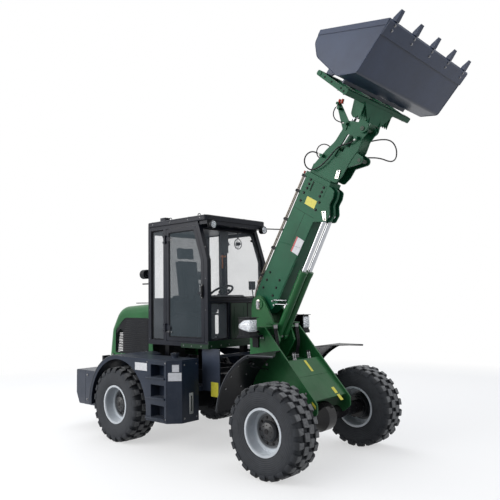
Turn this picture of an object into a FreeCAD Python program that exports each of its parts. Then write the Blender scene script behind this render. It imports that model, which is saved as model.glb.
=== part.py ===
import FreeCAD, Part
import math
import os

# Compact articulated telescopic loader, millimetres, +X forward, +Y left, +Z up.
# All sizes are laid out from the rear axle's centre on the ground; every piece is then shifted along X by
# ORIGIN_X so that the origin lies under the middle of the machine's length.

# ---- driving dimensions ----
WHEELBASE = 2850.0
HALF_TRACK = 970.0
ARTIC_X = 1620.0            # articulation pivot, behind the boom tower
TYRE_R = 537.5
TYRE_W = 405.0
RIM_BEAD_R = 254.0
RIM_FLANGE_R = 276.0
RIM_HALF_W = 183.0
HUB_R = 150.0
SPINDLE_R = 60.0
AXLE_TUBE_R = 88.0
DIFF_R = 185.0

RUN_FIT = 0.05              # radial clearance of a pin in its bore
GAP = 6.0                   # gap between parts that move past each other

RAIL_Y = 390.0              # outer face of the rear frame rails
RAIL_T = 20.0
RAIL_Z0 = 470.0
RAIL_Z1 = 1040.0
REAR_X0 = -1340.0           # back of the rails, front of the counterweight
CAB_FLOOR_Z = 1385.0

CWT_LEN = 270.0
TOW_BORE_R = 16.0            # vertical bore for a tow pin, crossing the slot
TOW_BORE_Z0 = 450.0
CWT_HALF_W = 800.0
CWT_Z0 = 350.0
CWT_Z1 = 905.0

CAB_HALF_W = 624.0
CAB_REAR_X = 115.0
CAB_FRONT_X = 1430.0
CAB_TOP_Z = 3165.0
CAB_POST = 70.0
SEAT_X = 322.0               # foot of the seat's back
CAB_LEAN = 190.0            # how far the windscreen's top stands back
CAB_KNEE_Z = 2600.0         # height where the front posts start to lean
BPOST_X = 475.0
DOOR_T = 34.0
GLASS_T = 6.0
ROOF_T = 75.0
ROOF_OVER = 16.0

ENGINE_RISE = 202.5           # axle's centre to the engine's underside
HOOD_HALF_W = 500.0
HOOD_REAR_X = -1150.0
HOOD_FRONT_X = 60.0
HOOD_TOP_Z = 2000.0
HOOD_Z0 = 1120.0
HOOD_WALL = 12.0
HOOD_SHOULDER = 135.0
HOOD_WINDOW_Z0 = 1190.0
HOOD_WINDOW_Z1 = 1768.0
HOOD_HINGE_X = 80.0
HOOD_HINGE_Z = 2022.0
HOOD_HINGE_Y = 300.0
HOOD_PIN_R = 8.0

TANK_OUT_Y = 1172.0
TANK_Z0 = 420.0
TANK_Z1 = 1245.0
TANK_FRONT_X = 1345.0
TANK_CHAMFER = 145.0
CAP_X = 1000.0
RECESS_RISE = 268.0
RECESS_H = 168.0
BOX_REAR_X = 284.0           # where the rear guard meets the step box
RECESS_X0 = 867.0
RECESS_X1 = 1150.0
TANK_IN_Y = 730.0
ARCH_X = 90.0                # centre of the rear wheel arch, a little ahead of the axle
ARCH_DROP = 7.5               # arch centre below the axle
ARCH_ROOM = 132.5             # tyre tread to arch edge
FENDER_T = 16.0
REAR_FENDER_ROOM = 197.5      # tyre tread to guard's outer face
REAR_FENDER_IN_Y = HOOD_HALF_W + 2 * GAP
FRONT_FENDER_ROOM = 372.5     # tyre tread to guard's outer face
FRONT_FENDER_Y = 1000.0
FRONT_FENDER_A0 = 112.0     # the guard spans these angles about the front wheel
FRONT_FENDER_A1 = 174.0

TOWER_Y = 380.0             # outer face of the tower side plates
TOWER_T = 25.0
TOWER_STEP_Z = 1668.0
TOWER_NOSE = 210.0            # how far the side plates reach ahead of the front axle
TOWER_HOSE_X = 2310.0
TOWER_SHELF_Z = 1700.0
TOWER_FLOOR_Z = 1225.0         # top of the low bridges beside the ears
LAMP_X = 2160.0              # headlights beside the tower
LAMP_Y = 572.0
LAMP_Z = 1690.0
EAR_Y = 145.0               # inner face of the pivot ears
EAR_T = 35.0
COVER_TOP_Z = 1258.0

PIVOT_X = 1980.0
PIVOT_Z = 1970.0
PIVOT_PIN_R = 35.0
PIVOT_BOSS_R = 125.0
BOOM_ANGLE = 59.0
BOOM_W = 210.0
BOOM_TOP = 172.0            # above the pivot line, across the boom
BOOM_BOTTOM = 225.0         # below the pivot line
BOOM_WALL = 10.0
BOOM_TAIL = 150.0
BOOM_LEN = 1920.0
INNER_GAP = 8.0             # wear pad thickness between the sections
INNER_TAIL = 300.0
STROKE = 900.0

LIFT_BASE_X = 2212.0
LIFT_BASE_Z = 1530.0
LIFT_EYE_X = 3060.0
LIFT_EYE_Z = 3100.0
LIFT_Y = 65.0
LIFT_BARREL_R = 54.0
LIFT_ROD_R = 30.0
LIFT_BARREL_LEN = 980.0
LIFT_CLOSE = 690.0           # how far the rods can go in from the rest pose
LIFT_PIN_R = 25.0

HINGE_U = 2687.0            # bucket hinge in the boom's own axes
HINGE_V = -357.0
LUG_U = 2326.0              # spare pin ear under the boom head
LUG_V = -478.0
BUCKET_ANGLE = 47.3
BUCKET_W = 2000.0
BUCKET_T = 10.0
HITCH_HALF_W = 750.0
HITCH_PIN_R = 28.0
FRAME_A0 = 262.0            # hitch frame's section in the bucket's own axes
FRAME_A1 = 325.0
FRAME_B0 = 35.0
FRAME_B1 = 560.0
HITCH_TUBE_A = 295.0
HITCH_TUBE_B = 522.0
HITCH_TUBE_R = 32.0

TILT_BASE_U = 1620.0
TILT_BASE_V = 60.0
TILT_BARREL_R = 48.0
TILT_ROD_R = 28.0
TILT_BARREL_LEN = 760.0
TILT_CLOSE = 190.0
TILT_ARM = 280.0            # bucket hinge to tilt pin
TILT_ARM_ANGLE = 75.0       # of that arm, from the bucket floor's direction

STEER_BASE = (-600.0, 300.0)
STEER_EYE = (180.0, 250.0)
STEER_Z = 700.0
JAW_LOW_Z = 500.0           # flat jaws of the rear frame that hold the articulation pin
JAW_HIGH_Z = 950.0
JAW_T = 40.0
ARTIC_PIN_R = 32.0
STEER_BARREL_R = 40.0
STEER_ROD_R = 20.0
STEER_BARREL_LEN = 480.0
STEER_CLOSE = 150.0

X = FreeCAD.Vector(1, 0, 0)
Y = FreeCAD.Vector(0, 1, 0)
Z = FreeCAD.Vector(0, 0, 1)
AXLE_Z = TYRE_R
ARCH_Z = AXLE_Z - ARCH_DROP
REAR_ARCH_R = TYRE_R + ARCH_ROOM
REAR_FENDER_R = TYRE_R + REAR_FENDER_ROOM
FRONT_FENDER_R = TYRE_R + FRONT_FENDER_ROOM


def vec(x, y, z):
    return FreeCAD.Vector(x, y, z)


# ---- general shapes ----
def box(x0, x1, y0, y1, z0, z1):
    return Part.makeBox(x1 - x0, y1 - y0, z1 - z0, vec(x0, y0, z0))


def both(shape):
    """The shape and its mirror image across the machine's middle plane, as separate solids."""
    return Part.makeCompound([shape, mirrored(shape)])


def mirrored(shape):
    return shape.mirror(vec(0, 0, 0), Y)


def joined(shapes):
    first = shapes[0]
    return first.fuse(shapes[1:]).removeSplitter() if len(shapes) > 1 else first


def outline(points):
    """A closed flat wire through (x, y, radius) points in the XY plane, each corner rounded by its radius."""
    count = len(points)
    flat = [vec(p[0], p[1], 0) for p in points]
    radii = [p[2] if len(p) > 2 else 0.0 for p in points]
    starts, ends, arcs = [], [], []
    for i in range(count):
        before = (flat[i - 1] - flat[i]).normalize()
        after = (flat[(i + 1) % count] - flat[i]).normalize()
        if radii[i] <= 0:
            starts.append(flat[i])
            ends.append(flat[i])
            arcs.append(None)
            continue
        half = before.getAngle(after) / 2
        reach = radii[i] / math.tan(half)
        start = flat[i] + before * reach
        end = flat[i] + after * reach
        bisector = (before + after).normalize()
        middle = flat[i] + bisector * (radii[i] / math.sin(half) - radii[i])
        starts.append(start)
        ends.append(end)
        arcs.append(Part.Arc(start, middle, end).toShape())
    edges = []
    for i in range(count):
        if arcs[i] is not None:
            edges.append(arcs[i])
        following = starts[(i + 1) % count]
        if (following - ends[i]).Length > 1e-6:
            edges.append(Part.makeLine(ends[i], following))
    return Part.Wire(edges)


def plate_xz(points, y0, y1, holes=()):
    """A plate standing along X: points are (x, z, radius), holes are (x, z, radius)."""
    face = Part.Face(outline(points))
    solid = face.extrude(vec(0, 0, y1 - y0))
    for hx, hz, radius in holes:
        solid = solid.cut(Part.makeCylinder(radius, y1 - y0, vec(hx, hz, 0)))
    solid.rotate(vec(0, 0, 0), X, 90)
    solid.translate(vec(0, y1, 0))
    return solid


def plate_yz(points, x0, x1):
    """A plate standing across the machine: points are (y, z, radius)."""
    solid = Part.Face(outline(points)).extrude(vec(0, 0, x1 - x0))
    solid.rotate(vec(0, 0, 0), vec(1, 1, 1), 120)
    solid.translate(vec(x0, 0, 0))
    return solid


def plate_xy(points, z0, z1):
    solid = Part.Face(outline(points)).extrude(vec(0, 0, z1 - z0))
    solid.translate(vec(0, 0, z0))
    return solid


def bar_y(x, z, radius, y0, y1):
    return Part.makeCylinder(radius, y1 - y0, vec(x, y0, z), Y)


def bar(start, end, radius):
    run = end - start
    return Part.makeCylinder(radius, run.Length, start, run)


def ring_y(profile, x, y, z, outward):
    """Turns a profile of (along, radius) points about the line through (x, y, z) along Y."""
    points = [vec(0, outward * s, r) for s, r in profile]
    wire = Part.makePolygon(points + [points[0]])
    solid = Part.Face(wire).revolve(vec(0, 0, 0), Y, 360)
    solid.translate(vec(x, y, z))
    return solid


def tube(points, diameter, name=""):
    """A hose of straight runs joined by tangent arcs, each arc as large as its runs allow."""
    knots = [vec(*p) for p in points]
    radii = []
    edges = []
    last = knots[0]
    for i in range(1, len(knots) - 1):
        back = knots[i - 1] - knots[i]
        ahead = knots[i + 1] - knots[i]
        turn = math.pi - back.getAngle(ahead)
        reach = 0.45 * min(back.Length, ahead.Length)
        start = knots[i] + back.normalize() * reach
        end = knots[i] + ahead.normalize() * reach
        radius = reach / math.tan(turn / 2)
        radii.append(radius)
        bisector = (back.normalize() + ahead.normalize()).normalize()
        middle = knots[i] + bisector * (radius / math.cos(turn / 2) - radius)
        edges.append(Part.makeLine(last, start))
        edges.append(Part.Arc(start, middle, end).toShape())
        last = end
    edges.append(Part.makeLine(last, knots[-1]))
    path = Part.Wire(edges)
    circle = Part.makeCircle(diameter / 2, knots[0], knots[1] - knots[0])
    hose = path.makePipeShell([Part.Wire([circle])], True, True)
    if name:
        ideal = math.pi * diameter ** 2 / 4 * path.Length
        print(name, "length", round(path.Length), "smallest radius in diameters",
              round(min(radii) / diameter, 1), "volume ratio", round(hose.Volume / ideal, 4))
    return hose


def axis_frame(shape, x, z, angle):
    """Places a shape drawn along +X with its pivot at the origin at (x, z), turned up by angle degrees."""
    placed = shape.copy()
    placed.rotate(vec(0, 0, 0), Y, -angle)
    placed.translate(vec(x, 0, z))
    return placed


def in_boom(shape):
    return axis_frame(shape, PIVOT_X, PIVOT_Z, BOOM_ANGLE)


def boom_point(u, v):
    a = math.radians(BOOM_ANGLE)
    return (PIVOT_X + u * math.cos(a) - v * math.sin(a), PIVOT_Z + u * math.sin(a) + v * math.cos(a))


HINGE_X, HINGE_Z = boom_point(HINGE_U, HINGE_V)
HEEL_A = 545.0              # bucket heel from the hinge, along the floor
HEEL_B = -118.0             # and across it


def in_bucket(shape):
    """Places a shape drawn in the bucket's own axes (hinge at the origin, floor along +X)."""
    return axis_frame(shape, HINGE_X, HINGE_Z, BUCKET_ANGLE)


# ---- wheels ----
def tyre_profile():
    half = TYRE_W / 2
    inner = RIM_BEAD_R + 0.5
    return [(-164, inner), (-175.5, 261.5), (-175.5, RIM_FLANGE_R + 2), (-184, 300), (-half, 390),
            (-half + 4, 450), (-half + 12, 500),
            (-half + 36, TYRE_R - 4), (-half + 60, TYRE_R), (half - 60, TYRE_R), (half - 36, TYRE_R - 4),
            (half - 12, 500), (half - 4, 450), (half, 390), (184, 300), (175.5, RIM_FLANGE_R + 2),
            (175.5, 261.5), (164, inner),
            (140, inner), (150, 300), (half - 26, 390), (half - 34, 480), (half - 66, TYRE_R - 42),
            (-half + 66, TYRE_R - 42), (-half + 34, 480), (-half + 26, 390), (-150, 300), (-140, inner)]


def rim_profile():
    w = RIM_HALF_W
    r = RIM_BEAD_R
    return [(-w, RIM_FLANGE_R), (-w + 7, RIM_FLANGE_R), (-w + 7, r + 6), (-w + 18, r), (w - 18, r),
            (w - 7, r + 6), (w - 7, RIM_FLANGE_R), (w, RIM_FLANGE_R), (w, r - 4), (w - 18, r - 10),
            (42, r - 10), (42, HUB_R - 30), (26, HUB_R - 30), (26, r - 10), (-w + 18, r - 10), (-w, r - 4)]


def hub_profile():
    bore = SPINDLE_R + RUN_FIT
    pilot = HUB_R - 30
    return [(-110, bore), (-110, HUB_R), (26, HUB_R + 22), (26, pilot - 1), (42, pilot - 1), (42, pilot + 1),
            (70, pilot - 1), (96, pilot - 22), (112, 40), (112, 0), (70, 0), (70, bore)]


def wheel(side, end):
    """Tyre, and rim with its hub, at one corner; side is +1 left, -1 right; end is the centre along X."""
    y = side * HALF_TRACK
    rim = ring_y(rim_profile(), end, y, AXLE_Z, side)
    hub = ring_y(hub_profile(), end, y, AXLE_Z, side)
    return ring_y(tyre_profile(), end, y, AXLE_Z, side), joined([rim, hub])


def axle(end):
    """Axle housing with its differential bowl, flanged ends and spindles."""
    reach = HALF_TRACK - 110 - GAP
    tube_part = bar_y(end, AXLE_Z, AXLE_TUBE_R, -reach, reach)
    cone = Part.makeCone(AXLE_TUBE_R, DIFF_R, 150, vec(end, -230, AXLE_Z), Y)
    bowl = bar_y(end, AXLE_Z, DIFF_R, -80, 80)
    flange = bar_y(end, AXLE_Z, HUB_R - 12, reach - 60, reach)
    spindle = bar_y(end, AXLE_Z, SPINDLE_R, reach - 1, HALF_TRACK + 62)
    return joined([tube_part, cone, mirrored(cone), bowl, flange, mirrored(flange), spindle,
                   mirrored(spindle)])


# ---- rear frame ----
def rear_chassis():
    rail = plate_xz([(REAR_X0, RAIL_Z0 + 60, 0), (REAR_X0, RAIL_Z1, 0), (1290, RAIL_Z1, 60),
                     (1290, 560, 60), (700, RAIL_Z0, 60), (-700, RAIL_Z0, 60)],
                    RAIL_Y - RAIL_T, RAIL_Y, holes=[(0, AXLE_Z, AXLE_TUBE_R + 1)])
    parts = [rail, mirrored(rail)]
    inner = RAIL_Y - RAIL_T
    for x0 in (REAR_X0, -760, 560):
        parts.append(box(x0, x0 + 20, -inner, inner, 620, RAIL_Z1))
    for x0 in (REAR_X0 + 30, -60):
        rest = box(x0, x0 + 50, inner, HOOD_HALF_W, RAIL_Z1 - 1, HOOD_Z0 - 0.3)
        parts += [rest, mirrored(rest)]
    # articulation yoke: two flat jaws behind the front frame's lugs
    for z0 in (JAW_LOW_Z, JAW_HIGH_Z):
        parts.append(plate_xy([(1150, -inner, 0), (1270, -inner, 40), (ARTIC_X + 80, -90, 70),
                               (ARTIC_X + 80, 90, 70), (1270, inner, 40), (1150, inner, 0)], z0, z0 + JAW_T))
    nose = box(1150, 1170, -inner, inner, JAW_LOW_Z, RAIL_Z1)
    for side in (-1, 1):
        y0, y1 = sorted((side * (inner - 175), side * (inner + 1)))
        nose = nose.cut(box(1149, 1171, y0, y1, STEER_Z - 62, STEER_Z + 62))
    parts.append(nose)
    for x0 in (230.0, 1150.0):
        post = box(x0, x0 + 90, RAIL_Y - 90, RAIL_Y, RAIL_Z1 - 1, CAB_FLOOR_Z)
        parts += [post, mirrored(post)]
    chassis = joined(parts)
    chassis = chassis.cut(Part.makeCylinder(ARTIC_PIN_R + RUN_FIT, 800, vec(ARTIC_X, 0, 400)))
    base_x = ARTIC_X + STEER_BASE[0]
    for side in (-1, 1):
        edge0, edge1 = sorted((side * (STEER_BASE[1] - 45), side * (inner + 1)))
        lug = box(base_x - 60, base_x + 40, edge0, edge1, STEER_Z - 65, STEER_Z - 45)
        top = box(base_x - 60, base_x + 40, edge0, edge1, STEER_Z + 45, STEER_Z + 65)
        web0, web1 = sorted((side * (inner - 18), side * (inner + 1)))
        web = box(base_x - 60, base_x + 40, web0, web1, STEER_Z - 65, STEER_Z + 65)
        chassis = chassis.fuse([lug, top, web])
        chassis = chassis.cut(Part.makeCylinder(18, 200, vec(base_x, side * STEER_BASE[1], STEER_Z - 100)))
    return chassis.removeSplitter()


def counterweight():
    back = REAR_X0 - CWT_LEN
    body = plate_xz([(REAR_X0, CWT_Z0, 0), (REAR_X0, CWT_Z1, 12), (back, CWT_Z1, 25),
                     (back, CWT_Z0 + 170, 20),
                     (back + 90, CWT_Z0, 20)], -CWT_HALF_W, CWT_HALF_W)
    wing = plate_xz([(REAR_X0 - 1, CWT_Z0, 0), (REAR_X0 - 1, CWT_Z1, 0), (-860, CWT_Z1, 0), (-860, 700, 0),
                     (-1020, CWT_Z0, 0)], RAIL_Y + 40, CWT_HALF_W)
    body = joined([body, wing, mirrored(wing)])
    slot = box(back - 1, back + 120, -90, 90, 560, 700)
    bore = Part.makeCylinder(TOW_BORE_R, CWT_Z1 - TOW_BORE_Z0 + 10, vec(back + 60, 0, TOW_BORE_Z0))
    return body.cut(slot).cut(bore)





def engine_block():
    z0 = AXLE_Z + ENGINE_RISE
    block = box(-700, -60, -270, 270, z0, 1500)
    feet = box(-560, -320, -(RAIL_Y - RAIL_T), RAIL_Y - RAIL_T, z0 - 20, z0 + 40)
    return joined([block, feet])


def hood():
    """Hollow engine hood, open below and in front, with the side windows cut for the grilles."""
    def bell(grow):
        return plate_xz([(HOOD_REAR_X - grow, HOOD_Z0, 0), (HOOD_REAR_X + 70 - grow, 1590, 220),
                         (HOOD_REAR_X + 290, HOOD_TOP_Z - 60 + grow, 330),
                         (HOOD_FRONT_X, HOOD_TOP_Z + grow, 0),
                         (HOOD_FRONT_X, HOOD_Z0, 0)], -HOOD_HALF_W - grow, HOOD_HALF_W + grow)
    outer = bell(0.0)
    outer = outer.makeFillet(HOOD_SHOULDER, shoulder_edges(outer, HOOD_HALF_W))
    inner = bell(-HOOD_WALL)
    inner = inner.makeFillet(HOOD_SHOULDER - HOOD_WALL, shoulder_edges(inner, HOOD_HALF_W - HOOD_WALL))
    shell = outer.cut(inner).cut(box(HOOD_FRONT_X - 1, HOOD_FRONT_X + 5, -450, 450, HOOD_Z0, HOOD_TOP_Z - 60))
    window = plate_xz(grille_outline(0), -HOOD_HALF_W - 5, HOOD_HALF_W + 5)
    rear = box(HOOD_REAR_X - 50, HOOD_REAR_X + 150, -300, 300, 1180, 1500)
    shell = shell.cut(window).cut(rear)
    for y in (-HOOD_HINGE_Y, HOOD_HINGE_Y):
        eye = bar_y(HOOD_HINGE_X, HOOD_HINGE_Z, HOOD_PIN_R + 8, y - 20, y + 20)
        strap = plate_xz([(HOOD_FRONT_X - 80, HOOD_TOP_Z - 2, 0), (HOOD_FRONT_X - 80, HOOD_TOP_Z + 12, 0),
                          (HOOD_HINGE_X, HOOD_HINGE_Z + 14, 0), (HOOD_HINGE_X, HOOD_HINGE_Z - 2, 0),
                          (HOOD_FRONT_X, HOOD_TOP_Z - 2, 0)], y - 20, y + 20)
        shell = joined([shell, strap, eye])
        shell = shell.cut(bar_y(HOOD_HINGE_X, HOOD_HINGE_Z, HOOD_PIN_R + RUN_FIT, y - 25, y + 25))
    return shell


def hood_hinges():
    """Brackets on the cab's rear wall with the pins that the hood turns on."""
    parts = []
    for y in (-HOOD_HINGE_Y, HOOD_HINGE_Y):
        pin = bar_y(HOOD_HINGE_X, HOOD_HINGE_Z, HOOD_PIN_R, y - 45, y + 45)
        cheeks = [box(HOOD_HINGE_X - 14, CAB_REAR_X - 0.2, y + d, y + d + 12, HOOD_HINGE_Z - 14,
                      HOOD_HINGE_Z + 14)
                  for d in (-40.0, 28.0)]
        parts.append(joined([pin] + cheeks))
    return Part.makeCompound(parts)


def shoulder_edges(shape, half):
    """The long edges where the hood's roof meets its sides."""
    edges = []
    for edge in shape.Edges:
        centre = edge.BoundBox
        on_side = abs(abs(centre.YMin) - half) < 1 and abs(centre.YMax - centre.YMin) < 1
        upright = centre.XLength < 1 and abs(centre.XMax - HOOD_FRONT_X) < 1
        low = centre.ZLength < 1 and abs(centre.ZMin - HOOD_Z0) < 1
        if on_side and not upright and not low:
            edges.append(edge)
    return edges


def grille_outline(inset):
    x0 = HOOD_REAR_X + 225 + inset
    z0 = HOOD_WINDOW_Z0 + inset
    z1 = HOOD_WINDOW_Z1 - inset
    return [(x0, z0, 20), (x0 + 10, 1560, 120), (x0 + 270, z1, 180), (-40 - inset, z1, 30),
            (-40 - inset, z0, 20)]


def hood_grilles():
    """Side screens, each left open at the rear where the fan draws air."""
    side = plate_xz(grille_outline(0.3), HOOD_HALF_W - HOOD_WALL + 1, HOOD_HALF_W - 3)
    x0 = HOOD_REAR_X + 240
    hole = plate_xz([(x0, 1210, 10), (x0, 1500, 60), (x0 + 190, 1640, 60), (x0 + 190, 1210, 10)],
                    HOOD_HALF_W - HOOD_WALL - 2, HOOD_HALF_W + 3)
    return both(side.cut(hole))


def rear_fenders():
    """Curved guards over the rear wheels with an outer lip, an inner gusset and an arm to the rail."""
    y0 = REAR_FENDER_IN_Y
    outer = bar_y(ARCH_X, ARCH_Z, REAR_FENDER_R, y0, TANK_OUT_Y)
    inner = bar_y(ARCH_X, ARCH_Z, REAR_FENDER_R - FENDER_T, y0 + 8, TANK_OUT_Y - 12)
    opening = bar_y(ARCH_X, ARCH_Z, REAR_ARCH_R, y0 - 1, TANK_OUT_Y + 1)
    shell = outer.cut(inner).cut(opening)
    shell = shell.cut(box(-900, 1200, 0, 1300, -300, ARCH_Z - 55))
    shell = shell.cut(box(BOX_REAR_X - 0.3, 1200, 0, 1300, -300, 1400))
    arm = box(-470, -400, RAIL_Y + 0.2, y0 + 8, 930, 1000)
    return both(joined([shell, arm]))


def side_box(side):
    """Box with three steps ahead of the rear wheel; its front end holds the tank."""
    body = plate_xy([(BOX_REAR_X, TANK_IN_Y, 0), (BOX_REAR_X, TANK_OUT_Y, 0),
                     (TANK_FRONT_X - TANK_CHAMFER, TANK_OUT_Y, 12),
                     (TANK_FRONT_X, TANK_OUT_Y - TANK_CHAMFER, 12),
                     (TANK_FRONT_X, TANK_IN_Y, 0)], TANK_Z0, TANK_Z1)
    body = body.cut(bar_y(ARCH_X, ARCH_Z, REAR_ARCH_R, TANK_IN_Y - 1, TANK_OUT_Y + 1))
    for i in range(3):
        z0 = TANK_Z0 + RECESS_RISE * (i + 0.2)
        body = body.cut(box(RECESS_X0, RECESS_X1, TANK_OUT_Y - 150, TANK_OUT_Y + 1, z0, z0 + RECESS_H))
        tread = box(RECESS_X0 - 110, RECESS_X1 + 10, TANK_OUT_Y - 30, TANK_OUT_Y + 14, z0 - 24, z0)
        body = body.fuse(tread.cut(bar_y(ARCH_X, ARCH_Z, REAR_ARCH_R, TANK_IN_Y - 1, TANK_OUT_Y + 20)))
    inside = box(RECESS_X1 + 25, TANK_FRONT_X - 8, TANK_IN_Y + 8, TANK_OUT_Y - TANK_CHAMFER - 8,
                 TANK_Z0 + 8, TANK_Z1 - 8)
    arm = box(900, 1250, RAIL_Y, TANK_IN_Y + 1, 780, 840)
    body = joined([body.cut(inside), arm])
    if side < 0:
        neck = Part.makeCylinder(45, 30, vec(CAP_X, 850, TANK_Z1 - 1))
        cap = Part.makeCylinder(58, 35, vec(CAP_X, 850, TANK_Z1 + 28))
        body = mirrored(joined([body, neck, cap]))
    return body


def side_panels():
    """Columns and the cross strip that close the rear frame's front end between the tanks."""
    y0 = CAB_HALF_W - 64
    panel = box(1256, ARTIC_X - 20, y0, y0 + 15, 790, CAB_FLOOR_Z - 20.3)
    shelf = box(1256, 1288, RAIL_Y, y0 + 1, 980, 1010)
    strip = box(1256, 1290, -y0 - 1, y0 + 1, 1205, 1245)
    return joined([panel, shelf, mirrored(panel), mirrored(shelf), strip])


# ---- cab ----
def front_post_line(inset):
    """Side view of the windscreen edge: upright, then leaning back; inset moves it backwards."""
    return [(CAB_FRONT_X - inset, CAB_FLOOR_Z), (CAB_FRONT_X - inset, CAB_KNEE_Z),
            (CAB_FRONT_X - CAB_LEAN - inset, CAB_TOP_Z)]


def cab_side_face(front_inset, rear_inset, low, high):
    (x0, _), (x1, zk), (x2, z2) = front_post_line(front_inset)
    lean = (x2 - x1) / (z2 - zk)
    top_x = x1 + lean * (CAB_TOP_Z - high - CAB_KNEE_Z)
    return [(CAB_REAR_X + rear_inset, CAB_FLOOR_Z + low), (x0, CAB_FLOOR_Z + low), (x1, zk),
            (top_x, CAB_TOP_Z - high), (CAB_REAR_X + rear_inset, CAB_TOP_Z - high)]


def cab_frame():
    w = CAB_HALF_W
    p = CAB_POST
    solid = plate_xz(cab_side_face(0, 0, 0, 0), -w, w)
    room = plate_xz(cab_side_face(p, p, 50, 60), -w + p, w - p)
    side_hole = plate_xz([(BPOST_X + 60 + GAP, CAB_FLOOR_Z + 62, 0), (CAB_FRONT_X - p, CAB_FLOOR_Z + 62, 0),
                          (CAB_FRONT_X - p, CAB_KNEE_Z, 0),
                          (CAB_FRONT_X - CAB_LEAN - p + 18, CAB_TOP_Z - 60, 0),
                          (BPOST_X + 60 + GAP, CAB_TOP_Z - 60, 0)], -w - 1, w + 1)
    quarter = box(CAB_REAR_X + p, BPOST_X, -w - 1, w + 1, CAB_FLOOR_Z + 70, CAB_TOP_Z - 60)
    screen_top = plate_xz([(CAB_FRONT_X - p - 60, 2060, 0), (CAB_FRONT_X + 60, 2060, 0),
                           (CAB_FRONT_X + 60, CAB_TOP_Z - 95, 0),
                           (CAB_FRONT_X - CAB_LEAN - p - 60, CAB_TOP_Z - 95, 0)],
                          -w + p, w - p)
    low_left = box(CAB_FRONT_X - p - 5, CAB_FRONT_X + 5, 210, w - p, CAB_FLOOR_Z + 95, 2000)
    low_right = box(CAB_FRONT_X - p - 5, CAB_FRONT_X + 5, -w + p, -210, CAB_FLOOR_Z + 95, 2000)
    cowl_gap = box(CAB_FRONT_X - p - 5, CAB_FRONT_X + 5, -180, 180, CAB_FLOOR_Z + 50, 2000)
    rear_window = box(CAB_REAR_X - 5, CAB_REAR_X + p + 5, -w + p, w - p, 2060, CAB_TOP_Z - 95)
    frame = solid.cut(room).cut(side_hole).cut(quarter).cut(screen_top)
    return frame.cut(low_left).cut(low_right).cut(cowl_gap).cut(rear_window)


def cab_cowl():
    """Curved green cover under the windscreen's middle, with the sill strip below it."""
    cover = plate_yz([(-179.5, CAB_FLOOR_Z + 50.5, 0), (-179.5, 1999.5, 0), (179.5, 1999.5, 0),
                      (179.5, CAB_FLOOR_Z + 50.5, 0)], CAB_FRONT_X - CAB_POST, CAB_FRONT_X + 12)
    hollow = box(CAB_FRONT_X - CAB_POST - 1, CAB_FRONT_X - 2, -165, 165, CAB_FLOOR_Z + 65, 1985)
    strip = box(CAB_FRONT_X + 0.3, CAB_FRONT_X + 10, -CAB_HALF_W, CAB_HALF_W, CAB_FLOOR_Z - 20,
                CAB_FLOOR_Z + 85)
    gap = box(CAB_FRONT_X - 5, CAB_FRONT_X + 20, -181, 181, CAB_FLOOR_Z + 48, CAB_FLOOR_Z + 90)
    flank = box(BPOST_X + 400, CAB_FRONT_X + 10, CAB_HALF_W + 0.3, CAB_HALF_W + 8, CAB_FLOOR_Z - 20,
                CAB_FLOOR_Z + 40)
    sill = joined([strip.cut(gap), flank, mirrored(flank)])
    return Part.makeCompound([cover.cut(hollow), sill])


def cab_roof():
    w = CAB_HALF_W + ROOF_OVER
    z0 = CAB_TOP_Z + 0.2
    slab = plate_xy([(CAB_REAR_X - 5, -w, 40), (CAB_FRONT_X, -w, 60), (CAB_FRONT_X, w, 60),
                     (CAB_REAR_X - 5, w, 40)], z0, z0 + ROOF_T)
    rim = [e for e in slab.Edges if abs(e.BoundBox.ZMin - z0 - ROOF_T) < 1 and e.BoundBox.ZLength < 1]
    slab = slab.makeFillet(22, rim)
    brow = box(CAB_FRONT_X - CAB_LEAN + 25, CAB_FRONT_X - 12, -w + 30, w - 30, z0 - 55, z0 + 1)
    return joined([slab, brow] + roof_fittings(z0 + ROOF_T))


def cab_glass():
    w = CAB_HALF_W
    p = CAB_POST
    mid = CAB_FRONT_X - 36
    lean = CAB_LEAN / (CAB_TOP_Z - CAB_KNEE_Z)
    top = CAB_TOP_Z - 95.5
    back = lean * (top - CAB_KNEE_Z)
    screen = plate_xz([(mid, 2060.5, 0), (mid + GLASS_T, 2060.5, 0), (mid + GLASS_T, CAB_KNEE_Z, 0),
                       (mid + GLASS_T - back, top, 0), (mid - back, top, 0), (mid, CAB_KNEE_Z, 0)],
                      -w + p + 0.3, w - p - 0.3)
    low = box(mid, mid + GLASS_T, 210.3, w - p - 0.3, CAB_FLOOR_Z + 95.3, 1999.7)
    rear = box(CAB_REAR_X + 30, CAB_REAR_X + 36, -w + p + 0.3, w - p - 0.3, 2060.3, CAB_TOP_Z - 95.3)
    quarter = box(CAB_REAR_X + p + 0.3, BPOST_X - 0.3, w - 36, w - 30, CAB_FLOOR_Z + 70.3, CAB_TOP_Z - 60.3)
    return Part.makeCompound([screen, both(low), rear, both(quarter)])


def door_outline(inset):
    x0 = BPOST_X + 60 + 2 * GAP + inset
    z0 = CAB_FLOOR_Z + 62 + GAP + inset
    z1 = CAB_TOP_Z - 60 - GAP - inset
    x1 = CAB_FRONT_X - CAB_POST - GAP - inset
    lean = CAB_LEAN / (CAB_TOP_Z - CAB_KNEE_Z)
    x2 = x1 - lean * (z1 - CAB_KNEE_Z)
    return [(x0, z0, 20), (x1, z0, 20), (x1, CAB_KNEE_Z, 0), (x2, z1, 20), (x0, z1, 20)]


HINGE_LINE_X = BPOST_X + 60
HINGE_LINE_Y = CAB_HALF_W + 16
DOOR_HINGE_Z = (1640.0, 2950.0)


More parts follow.
